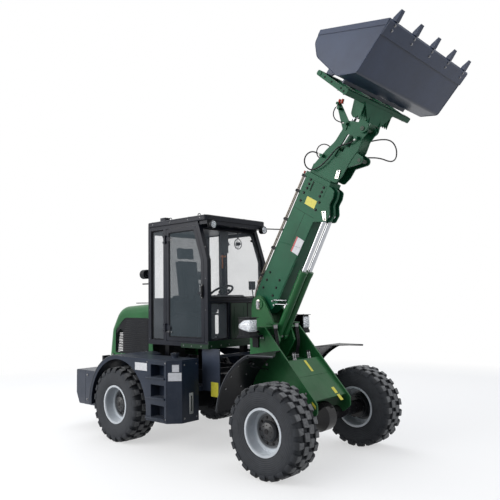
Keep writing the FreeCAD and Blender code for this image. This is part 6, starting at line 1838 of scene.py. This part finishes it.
class FrontFrame(Assembly):
    """Fittings, keepers, blank films, lamp faces and bolts of the front frame."""

    sizes = FrontSizes()

    def build(self) -> None:
        """Builds every group of the front frame's fittings."""
        self.lamps()
        self.keepers()
        self.unions()
        self.films()
        self.welds()
        self.guards()

    def on_cover(self, x: float, y: float, off: float = 0.0) -> Point:
        """A point on the sloped cover, lifted off it a little."""
        s = self.sizes
        z = s.cover_top[2] + s.cover_fall * (x - s.cover_top[0])
        return (x + off * 0.729, y, z + off * 0.684)

    def lamps(self) -> None:
        """Faceted wrap-round bowls behind clear lenses, in black housings, on both sides."""
        s = self.sizes
        shape = [(2.226, 1.622), (2.226, 1.776), (2.130, 1.768), (2.038, 1.716), (2.034, 1.668), (2.120, 1.640)]
        frames, bowls, lenses = [], [], []
        for side in (-1, 1):
            inner, outer = sorted((side * 0.508, side * 0.6475))
            bowls.append(self.plate(shape, inner, outer, 0.003))
            grown = [(x + (0.005 if x > 2.2 else -0.002), z + (0.004 if z > 1.7 else -0.004)) for x, z in shape]
            lenses.append(self.plate(grown, inner - 0.003, outer + 0.003, 0.010))
            y0, y1 = sorted((side * 0.500, side * 0.641))
            frames.append(self.plate([(2.222, s.lamp_low[2]), (2.222, 1.800), (2.026, 1.790),
                (2.026, 1.560)], y0, y1, 0.006))
            frames.append(self.block((2.016, y0 - 0.002, 1.798), (2.232, y1 + 0.004, 1.806), 0.002))
            frames.append(self.block((2.022, y0, s.lamp_low[2] - 0.016),
                (2.236, y1, s.lamp_low[2] + 0.020), 0.006))
            for x in (2.07, 2.18):
                frames.append(self.bolt((x, side * 0.57, 1.806), (0, 0, 1), 0.007))
                frames.append(self.bolt((x, side * 0.641, 1.590), (0, side, 0), 0.006))
            frames.append(self.block((2.06, min(side * 0.36, side * 0.51), 1.60),
                (2.16, max(side * 0.36, side * 0.51), 1.624), 0.004))
        self.group(frames, "headlight_frames", "black_plastic", Body.FRONT, Slot.PLASTIC)
        self.group(bowls, "headlight_bowls", "lamp_bowl", Body.FRONT, Slot.SILVER)
        self.group(lenses, "headlight_lenses", "lens_glass", Body.FRONT, Slot.GLASS)

    def keepers(self) -> None:
        """Two-bolt keepers on the pivot pin's ends and the lift pin's bosses."""
        s = self.sizes
        plates, bosses, bolts = [], [], []
        for side in (-1, 1):
            y = side * s.boss_face
            plates.append(self.block((1.958, min(y, y + side * 0.007), 1.900),
                (2.004, max(y, y + side * 0.007), 2.030), 0.003))
            for z in (1.930, 2.000):
                bolts.append(self.bolt((1.981, y + side * 0.007, z), (0, side, 0), 0.012))
            edge = [(PIVOT[0] + 0.124 * math.cos(a), side * 0.1815, PIVOT[1] + 0.124 * math.sin(a))
                for a in (math.radians(d) for d in range(-20, 201, 20))]
            bosses.append(self.strip(edge, 0.02, 0.005))
            skin = side * (s.plate_face + 0.0005)
            bosses.append(self.block((2.180, min(skin, skin + side * 0.008), 1.496),
                (2.244, max(skin, skin + side * 0.008), 1.564), 0.004))
            for dx in (-0.022, 0.022):
                bolts.append(self.bolt((2.212 + dx, skin + side * 0.008, 1.530), (0, side, 0), 0.008))
            bolts.append(self.bolt((2.277, skin, 1.192), (0, side, 0), 0.015))
            bolts.append(self.bolt((2.901, skin, 0.872), (0, side, 0), 0.012))
        self.group(plates, "pivot_keepers", "keeper_zinc", Body.FRONT, Slot.STEEL)
        self.group(bosses, "front_bosses", "green_enamel", Body.FRONT, Slot.GREEN)
        self.group(bolts, "front_frame_bolts", "pin_steel", Body.FRONT, Slot.STEEL)

    def unions(self) -> None:
        """Bulkhead unions on the cover's upper edge, and the crimped ends of the tower's hoses."""
        bright, dark = [], []
        for y in (-0.178, -0.140, 0.140, 0.178):
            foot = (2.566, y, 1.238)
            bright.append(self.rod(foot, (2.560, y, 1.262), 0.017, 0.002, sides=6))
            bright.append(self.rod((2.560, y, 1.262), (2.552, y, 1.325), 0.0115, 0.002, sides=20))
            bright.append(self.ring((2.556, y, 1.300), (-0.12, 0, 1), 0.0120, 0.0022))
            dark.append(self.rod((2.552, y, 1.325), (2.549, y, 1.345), 0.0135, 0.003, sides=20))
        for side in (-1, 1):
            for y in (0.205, 0.229, 0.253):
                for z, way in ((1.2255, 1), (1.6995, -1)):
                    place = (2.310, side * y, z)
                    bright.append(self.rod(place, (2.310, side * y, z + way * 0.016), 0.0150, 0.0015,
                        sides=6))
                    bright.append(self.rod((2.310, side * y, z + way * 0.016),
                        (2.310, side * y, z + way * 0.052), 0.0122, 0.002, sides=20))
        self.group(bright, "front_unions", "pin_steel", Body.FRONT, Slot.STEEL)
        self.group(dark, "front_union_caps", "black_plastic", Body.FRONT, Slot.PLASTIC)

    def films(self) -> None:
        """Blank yellow films on the cover and on the side plate's nose."""
        made = []
        for spots in (((2.586, -0.012), (2.600, 0.020), (2.728, 0.056), (2.705, 0.018)),
                      ((2.905, 0.150), (2.915, 0.200), (2.975, 0.208), (2.975, 0.158)),
                      ((2.985, 0.158), (2.990, 0.208), (3.050, 0.216), (3.050, 0.166))):
            length = (spots[0][0] + spots[1][0]) / 2, (spots[2][0] + spots[3][0]) / 2
            width = (spots[0][1] + spots[3][1]) / 2, (spots[1][1] + spots[2][1]) / 2
            x0, x1, y0, y1 = length[0], length[1], width[0] - 0.006, width[1] + 0.006
            lift = Vector((0.729, 0, 0.684)) * 0.0012
            made.append(self.slab([self.on_cover(x0, y0, 0.0012), self.on_cover(x0, y1, 0.0012),
                self.on_cover(x1, y1, 0.0012), self.on_cover(x1, y0, 0.0012)], tuple(lift), 0.0004))
        made.append(self.slab([(2.990, -0.3806, 0.790), (3.044, -0.3806, 0.740), (3.044, -0.3806, 0.700),
            (2.990, -0.3806, 0.750)], (0, -0.001, 0), 0.0003))
        self.group(made, "front_films", "yellow_film", Body.FRONT, Slot.SILVER)

    def welds(self) -> None:
        """Fillet welds where the cover meets the side plates, and a lap joint across it."""
        lines = []
        for side in (-1, 1):
            y = side * 0.3535
            lines.append(self.strip([self.on_cover(2.580, y, 0.002), self.on_cover(2.96, y, 0.002)], 0.01,
                0.009))
            lines.append(self.strip([(2.012, side * 0.3535, 1.202), (2.335, side * 0.3535, 1.202)], 0.01,
                0.009))
            lines.append(self.strip([(1.99, side * 0.1815, 1.228), (2.18, side * 0.1815, 1.228)], 0.01,
                0.008))
        lines.append(self.strip([self.on_cover(2.755, -0.350, 0.001), self.on_cover(2.755, 0.350, 0.001)],
            0.01, 0.005))
        self.group(lines, "front_welds", "green_enamel", Body.FRONT, Slot.GREEN)

    def guards(self) -> None:
        """Flat brows, rolled grey edges, under-guard bolts and stays of the front guards."""
        s = self.sizes
        edges, bolts, stays, brows = [], [], [], []
        for side in (-1, 1):
            first = math.radians(s.guard_start)
            root = (WHEELBASE + s.guard_radius * math.cos(first),
                AXLE_HEIGHT + s.guard_radius * math.sin(first))
            corners = [(root[0] - 0.014, side * 0.449, root[1] - 0.012),
                (root[0] - 0.014, side * s.guard_edge, root[1] - 0.012),
                (s.tip_x, side * s.guard_edge, root[1] - 0.012), (s.tip_x, side * 0.958, root[1] - 0.012)]
            brows.append(self.slab(corners, (0, 0, 0.010), 0.002))
            low, high = sorted((side * (s.guard_edge - 0.010), side * s.guard_edge))
            brows.append(self.plate([(root[0] - 0.014, root[1] - 0.034), (s.tip_x, root[1] - 0.024),
                (s.tip_x, root[1] - 0.002), (root[0] - 0.014, root[1] - 0.004)], low, high, 0.002))
            arc = [(WHEELBASE + (s.guard_radius - 0.004) * math.cos(a), side * (s.guard_edge - 0.006),
                AXLE_HEIGHT + (s.guard_radius - 0.004) * math.sin(a))
                for a in (math.radians(d) for d in range(173, 112, -6))]
            arc.append((s.tip_x, side * (s.guard_edge - 0.006), root[1] - 0.008))
            edges.append(self.strip(arc, 0.03, 0.016))
            for degrees, across in ((d, y) for d in (119, 131, 143, 155) for y in (0.90, 0.62)):
                a = math.radians(degrees)
                way = (-math.cos(a), 0.0, -math.sin(a))
                reach = s.guard_radius - 0.0078
                bolts.append(self.bolt((WHEELBASE + reach * math.cos(a), side * across,
                    AXLE_HEIGHT + reach * math.sin(a)), way, 0.009))
            a = math.radians(128)
            top = (WHEELBASE + 0.900 * math.cos(a), side * 0.72, AXLE_HEIGHT + 0.900 * math.sin(a))
            stays.append(self.strip([(top[0], side * 0.380, top[2] - 0.12),
                (top[0], side * 0.72, top[2] - 0.045), (top[0], side * 0.72, top[2])], 0.04, 0.018))
            stays.append(self.block((top[0] - 0.03, min(side * 0.68, side * 0.76), top[2] - 0.006),
                (top[0] + 0.03, max(side * 0.68, side * 0.76), top[2] + 0.002), 0.002))
        self.group(brows, "guard_brows", "black_enamel", Body.FRONT, Slot.BLACK)
        self.group(edges, "guard_edges", "grey_plastic", Body.FRONT, Slot.PLASTIC)
        self.group(bolts, "guard_bolts", "pin_steel", Body.FRONT, Slot.STEEL)
        self.group(stays, "guard_stays", "black_enamel", Body.FRONT, Slot.BLACK)


# ---- boom ----
@dataclass
class BoomSizes:
    """Places on the boom, in its own frame: along, across, up."""

    side: float = 0.105
    doubler: float = 0.111
    collar: float = 0.119
    pipe_rise: float = 0.247
    upper_bolts: tuple[tuple[float, float], ...] = ((1.838, 0.080), (1.777, 0.078), (1.718, 0.080),
        (1.644, 0.100), (1.532, 0.098), (1.824, -0.161), (1.762, -0.160), (1.702, -0.159), (1.630, -0.190),
        (1.521, -0.186))
    lower_bolts: tuple[tuple[float, float], ...] = ((0.454, 0.089), (0.335, 0.089), (0.212, 0.092),
        (0.440, -0.111), (0.322, -0.108), (0.200, -0.108))


class Boom(Assembly):
    """Bolts, slots, seams, blank films, pins and pipe fittings of the telescopic boom."""

    sizes = BoomSizes()

    def build(self) -> None:
        """Builds the fittings of the outer boom, the head and the cylinders."""
        self.side_bolts()
        self.slots()
        self.seams()
        self.films()
        self.pipes()
        self.cylinders()
        self.head()

    def side_bolts(self) -> None:
        """Wear-pad bolts on both sides."""
        s = self.sizes
        bolts = []
        for side in (-1, 1):
            for u, v in s.upper_bolts:
                bolts.append(self.bolt((u, side * s.side, v), (0, side, 0), 0.0135))
            for u, v in s.lower_bolts:
                bolts.append(self.bolt((u, side * s.doubler, v), (0, side, 0), 0.013))
            for u in (0.40, 0.52, 1.77, 1.88):
                bolts.append(self.bolt((u, side * 0.055, 0.172 if u < 1.8 else 0.186), (0, 0, 1), 0.012))
        self.group(bolts, "boom_pad_bolts", "dark_bolt", Body.OUTER_BOOM, Slot.BLACK, Datum.boom())

    def slots(self) -> None:
        """Dark inspection slots beside the bolt rows, each with a rolled rim."""
        s = self.sizes
        darks, rims = [], []
        for side in (-1, 1):
            for v in (0.020, -0.222):
                y = side * s.side
                outline = face("y", y, (1.700, v - 0.011), (1.838, v + 0.011))
                darks.append(self.slab(outline, (0, side * 0.0012, 0), 0.0004))
                rims.append(self.bead(outline, 0.009, 0.004))
        self.group(darks, "boom_slots", "shadow_black", Body.OUTER_BOOM, Slot.BLACK, Datum.boom())
        self.group(rims, "boom_slot_rims", "boom_enamel", Body.OUTER_BOOM, Slot.GREEN, Datum.boom())

    def seams(self) -> None:
        """Plate joints and fillet welds along the boom's sides."""
        s = self.sizes
        dark, welds = [], []
        for side in (-1, 1):
            y = side * (s.side + 0.0002)
            dark.append(self.slab(face("y", y, (1.411, 0.168), (1.415, -0.221)), (0, side * 0.0006, 0),
                0.0002))
            dark.append(self.slab([(0.985, y, -0.040), (1.411, y, -0.044), (1.411, y, -0.048),
                (0.985, y, -0.044)], (0, side * 0.0006, 0), 0.0002))
            y = side * (s.side + 0.004)
            welds.append(self.strip([(0.184, y, -0.20), (0.184, y, 0.148), (0.90, y, 0.148),
                (0.978, y, -0.205)], 0.03, 0.007))
            for v in (-0.2235, 0.1705):
                welds.append(self.strip([(0.30, side * 0.1045, v), (1.855, side * 0.1045, v)], 0.02,
                    0.006))
            welds.append(self.strip([(1.858, side * 0.1075, -0.232), (1.858, side * 0.1075, 0.176)], 0.02,
                0.008))
        self.group(dark, "boom_joints", "shadow_black", Body.OUTER_BOOM, Slot.BLACK, Datum.boom())
        self.group(welds, "boom_welds", "boom_enamel", Body.OUTER_BOOM, Slot.GREEN, Datum.boom())

    def films(self) -> None:
        """A yellow film near the collar, and a white film with a red band at the middle, all blank."""
        y = -self.sizes.side - 0.0003
        lift = (0, -0.0009, 0)
        yellow = self.slab([(1.521, y, 0.018), (1.628, y, 0.024), (1.628, y, -0.150), (1.521, y, -0.156)],
            lift, 0.0003)
        y, lift = -self.sizes.side + 0.0005, (0, -0.0073, 0)
        white = self.slab(face("y", y, (0.872, -0.108), (1.087, -0.220)), lift, 0.0003)
        red = self.slab(face("y", y, (0.872, -0.083), (1.087, -0.1075)), lift, 0.0003)
        for piece, colour in ((yellow, "yellow"), (white, "white"), (red, "red")):
            self.fit(piece, colour + "_film", Body.OUTER_BOOM, Slot.SILVER, "boom_film_" + colour, Datum.boom())

    def pipes(self) -> None:
        """Two bent pipes along the boom's back on standoffs, with clamps, nuts and a red cap."""
        s = self.sizes
        runs, posts, nuts = [], [], []
        for y in (-0.070, -0.040):
            runs.append(self.strip([(-0.020, y, 0.182), (0.150, y, s.pipe_rise - 0.012),
                (0.500, y, s.pipe_rise), (1.872, y, s.pipe_rise)], 0.08, 0.017))
            for u in (0.22, 1.20):
                runs.append(self.rod((u - 0.018, y, s.pipe_rise), (u + 0.018, y, s.pipe_rise), 0.0135,
                    0.002, sides=6))
        for u in (0.33, 0.76, 1.20, 1.62, 1.84):
            posts.append(self.block((u - 0.014, -0.088, 0.171), (u + 0.014, -0.022, s.pipe_rise - 0.006),
                0.003))
            posts.append(self.block((u - 0.018, -0.090, s.pipe_rise - 0.010),
                (u + 0.018, -0.020, s.pipe_rise + 0.014), 0.005))
            nuts.append(self.bolt((u, -0.055, s.pipe_rise + 0.014), (0, 0, 1), 0.008))
        cap = self.rod((1.870, -0.070, s.pipe_rise), (1.900, -0.070, s.pipe_rise), 0.014, 0.004)
        pipes = self.group(runs, "boom_back_pipes", "bronze_pipe", Body.OUTER_BOOM, Slot.STEEL, Datum.boom())
        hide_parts("boom_pipes")
        self.group(posts, "boom_pipe_clamps", "black_plastic", Body.OUTER_BOOM, Slot.PLASTIC, Datum.boom())
        self.group(nuts, "boom_pipe_nuts", "zinc_plate", Body.OUTER_BOOM, Slot.STEEL, Datum.boom())
        self.fit(cap, "red_plastic", Body.OUTER_BOOM, Slot.PLASTIC, "boom_pipe_cap", Datum.boom())

    def cylinders(self) -> None:
        """Ports with bent tubes, and keepers at the rods' eyes."""
        bright = []
        for v, u in ((-0.166, 0.163), (-0.215, 0.128)):
            line = [(u - 0.03, -0.119, v + 0.02), (u, -0.135, v), (u + 0.07, -0.135, v - 0.13),
                (u + 0.10, -0.112, v - 0.18)]
            bright.append(self.strip(line, 0.02, 0.014))
            bright.append(self.rod(line[0], (line[0][0] - 0.004, -0.105, line[0][2] + 0.006), 0.013,
                0.0015, sides=6))
        self.group(bright, "boom_port_tubes", "polished_chrome", Body.OUTER_BOOM, Slot.STEEL, Datum.boom())
        keepers, bolts = [], []
        for side in (-1, 1):
            y = side * 0.117
            plate = [(1.550, y, -0.287), (1.579, y, -0.350), (1.468, y, -0.412), (1.454, y, -0.367)]
            keepers.append(self.slab(plate, (0, side * 0.008, 0), 0.003))
            for u, v in ((1.546, -0.326), (1.480, -0.380)):
                bolts.append(self.bolt((u, y + side * 0.008, v), (0, side, 0), 0.010))
        self.group(keepers, "rod_keepers", "keeper_zinc", Body.OUTER_BOOM, Slot.STEEL, Datum.boom())
        self.group(bolts, "rod_keeper_bolts", "pin_steel", Body.OUTER_BOOM, Slot.STEEL, Datum.boom())

    def head(self) -> None:
        """Keepers and their bolts at the head, and the red quick-coupler caps."""
        bolts, caps, plates = [], [], []
        for side in (-1, 1):
            y = side * 0.1135
            plates.append(self.slab([(2.101, y, -0.248), (2.120, y, -0.296), (2.007, y, -0.318),
                (1.992, y, -0.266)], (0, side * 0.007, 0), 0.003))
            for u, v in ((2.024, -0.290), (2.092, -0.274)):
                bolts.append(self.bolt((u, y + side * 0.007, v), (0, side, 0), 0.011))
        for u, v in ((2.852, 0.112), (2.868, 0.070)):
            caps.append(self.rod((u, -0.150, v), (u + 0.055, -0.150, v + 0.008), 0.017, 0.004))
            caps.append(self.ring((u + 0.002, -0.150, v), (1, 0, 0.1), 0.0185, 0.004))
        self.group(plates, "head_keepers", "keeper_zinc", Body.INNER_BOOM, Slot.STEEL, Datum.boom())
        self.group(bolts, "head_bolts", "pin_steel", Body.INNER_BOOM, Slot.STEEL, Datum.boom())
        self.group(caps, "coupler_caps", "red_plastic", Body.INNER_BOOM, Slot.PLASTIC, Datum.boom())


# ---- hitch and bucket ----
@dataclass
class BucketSizes:
    """Places on the hitch and bucket, in the bucket's frame: along its floor, across, away from the floor."""

    half: float = 1.000
    heel: tuple[float, float] = (0.545, -0.118)
    hitch_half: float = 0.750
    tooth_pitch: float = 0.440


class Bucket(Assembly):
    """Welds, bolts, rolled edges and lock pins of the quick hitch and the bucket."""

    sizes = BucketSizes()

    def build(self) -> None:
        """Builds every group of the bucket's and hitch's fittings."""
        self.hitch()
        self.seams()
        self.edge()

    def outline(self, inset: float) -> list[tuple[float, float]]:
        """The bucket's side view from the lip round the back to the top edge, moved inwards by an inset."""
        h, k = self.sizes.heel
        return [(h + 0.600 - inset, k + inset), (h + inset * 0.2, k + inset), (h - 0.142 + inset, k + 0.206),
            (h - 0.100 + inset, k + 0.584), (h + 0.012 + inset, k + 0.711 - inset * 0.6),
            (h + 0.150, k + 0.734 - inset)]

    def hitch(self) -> None:
        """Hinge pin heads, cheek bolts and holes, web welds and the sprung lock pins."""
        s = self.sizes
        bolts, dark, welds, springs = [], [], [], []
        for side in (-1, 1):
            y = side * s.hitch_half
            for a, b in ((0.300, 0.137), (0.291, 0.084), (0.295, 0.300), (0.295, 0.420)):
                dark.append(self.rod((a, y - side * 0.001, b), (a, y + side * 0.0012, b), 0.0125, 0.0))
            for b in (0.10, 0.20):
                bolts.append(self.bolt((0.2615, side * 0.70, b), (-1, 0, 0), 0.011))
            welds.append(self.strip([(0.262, side * 0.724, 0.128), (0.337, side * 0.724, 0.128)], 0.01,
                0.008))
            for across in (0.40, 0.045):
                welds.append(self.strip([(0.2615, side * (across + 0.013), 0.130),
                    (0.2615, side * (across + 0.013), 0.53)], 0.01, 0.007))
            for across in (0.175, 0.225, 0.275, 0.325):
                welds.append(self.strip([(0.258, side * (across + 0.008), 0.040),
                    (0.258, side * (across + 0.008), 0.122)], 0.01, 0.006))
            springs.append(self.rod((0.300, side * 0.50, 0.160), (0.300, side * 0.715, 0.160), 0.014,
                0.003))
            springs += [self.ring((0.300, side * (0.52 + 0.012 * i), 0.160), (0, 1, 0), 0.020, 0.0032)
                for i in range(14)]
            springs.append(self.ring((0.300, side * 0.495, 0.160), (0, 0, 1), 0.020, 0.005))
        frame = Datum.bucket()
        self.group(bolts, "hitch_bolts", "pin_steel", Body.BUCKET, Slot.STEEL, frame)
        self.group(dark, "hitch_holes", "shadow_black", Body.BUCKET, Slot.BLACK, frame)
        self.group(welds, "hitch_welds", "boom_enamel", Body.BUCKET, Slot.GREEN, frame)
        self.group(springs, "hitch_springs", "pin_steel", Body.BUCKET, Slot.STEEL, frame)

    def seams(self) -> None:
        """Fillet welds round both end plates, inside and out, and across the back's folds."""
        s = self.sizes
        lines = []
        for side in (-1, 1):
            outside = [(a, side * (s.half - 0.001), b) for a, b in self.outline(0.0)]
            lines.append(self.strip(outside, 0.03, 0.009))
            inside = [(a, side * (s.half - 0.018), b) for a, b in self.outline(0.016)]
            lines.append(self.strip(inside, 0.03, 0.010))
        for a, b in self.outline(0.0)[2:4]:
            lines.append(self.strip([(a + 0.004, -s.half + 0.01, b), (a + 0.004, s.half - 0.01, b)], 0.01,
                0.006))
        self.group(lines, "bucket_welds", "bucket_enamel", Body.BUCKET, Slot.SLATE, Datum.bucket())

    def edge(self) -> None:
        """Tooth adapter bolts, a rolled top edge and stiffening ribs on the end plates."""
        s = self.sizes
        h, k = s.heel
        bolts, rolls = [], []
        for i in range(5):
            y = (i - 2) * s.tooth_pitch
            for a in (0.525, 0.580):
                bolts.append(self.bolt((h + a, y, k + 0.0345), (0, 0, 1), 0.013))
                bolts.append(self.bolt((h + a, y, k - 0.0142), (0, 0, -1), 0.011))
        rolls.append(self.strip([(h + 0.120, -s.half + 0.004, k + 0.730),
            (h + 0.120, s.half - 0.004, k + 0.730)], 0.01, 0.016))
        for side in (-1, 1):
            rolls.append(self.strip([(h + 0.150, side * (s.half + 0.004), k + 0.733),
                (h + 0.612, side * (s.half + 0.004), k + 0.004)], 0.01, 0.010))
        self.group(bolts, "tooth_bolts", "pin_steel", Body.BUCKET, Slot.STEEL, Datum.bucket())
        self.group(rolls, "bucket_edges", "bucket_enamel", Body.BUCKET, Slot.SLATE, Datum.bucket())


class Plain(Assembly):
    """Finishes of the CAD nodes that keep their shape."""

    finishes: dict[str, str] = {
        "rear_chassis": "black_enamel", "rear_axle": "axle_enamel",
        "front_axle": "axle_enamel", "counterweight": "slate_enamel", "engine_block": "cast_iron",
        "engine_hood": "green_enamel", "hood_grilles": "black_enamel", "rear_fenders": "dark_slate_enamel",
        "fuel_tank_steps": "dark_slate_enamel", "hydraulic_tank_steps": "dark_slate_enamel",
        "side_panels": "slate_enamel", "cab_frame": "cab_enamel", "cab_cowl": "deep_green_enamel",
        "cab_roof": "cab_enamel", "cab_glass": "clear_glass", "cab_hinges": "cab_enamel",
        # the right door's pane takes the darker copy of the glass, which is painted shade
        "right_door": "cab_enamel", "right_door_glass": "shaded_door_glass", "left_door": "cab_enamel",
        "left_door_glass": "clear_glass", "seat_base": "black_plastic", "dashboard": "black_plastic",
        "roof_lamps": "black_plastic", "mirror": "black_plastic", "rear_lamps": "black_plastic",
        "front_frame": "green_enamel", "front_frame_pins": "pin_steel", "front_fenders": "black_enamel",
        "headlights": "black_enamel", "boom_outer": "boom_enamel", "boom_inner": "boom_enamel",
        "head_pins": "deep_green_enamel", "tower_hoses": "hose_cover", "lift_barrels": "green_enamel",
        "lift_rods": "polished_chrome", "tilt_barrel": "green_enamel", "tilt_rod": "polished_chrome",
        "hitch_frame": "boom_enamel", "bucket": "bucket_enamel", "bucket_teeth": "bucket_enamel",
        "steering_barrel_right": "black_enamel", "steering_barrel_left": "black_enamel",
        "steering_rod_right": "polished_chrome", "steering_rod_left": "polished_chrome",
        "rear_frame_pins": "pin_steel",
    }

    def build(self) -> None:
        """Dresses every kept node."""
        self.dress_nodes({n: f for n, f in self.finishes.items() if n in bpy.data.objects})


ASSEMBLIES: tuple[type[Assembly], ...] = (
    HeadHoses, Plain, Wheels, Cab, Seat, RearBody, FrontFrame, Boom, Bucket)


def main() -> None:
    """Dresses the machine, sub-assembly by sub-assembly."""
    logging.basicConfig(level=logging.INFO, format="%(name)s: %(message)s")
    random.seed(7)
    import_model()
    Datum.locate()
    Bench.clear()
    palette = Palette()
    Studio().build()
    for assembly in ASSEMBLIES:
        assembly(palette).build()


if __name__ == "__main__":
    main()
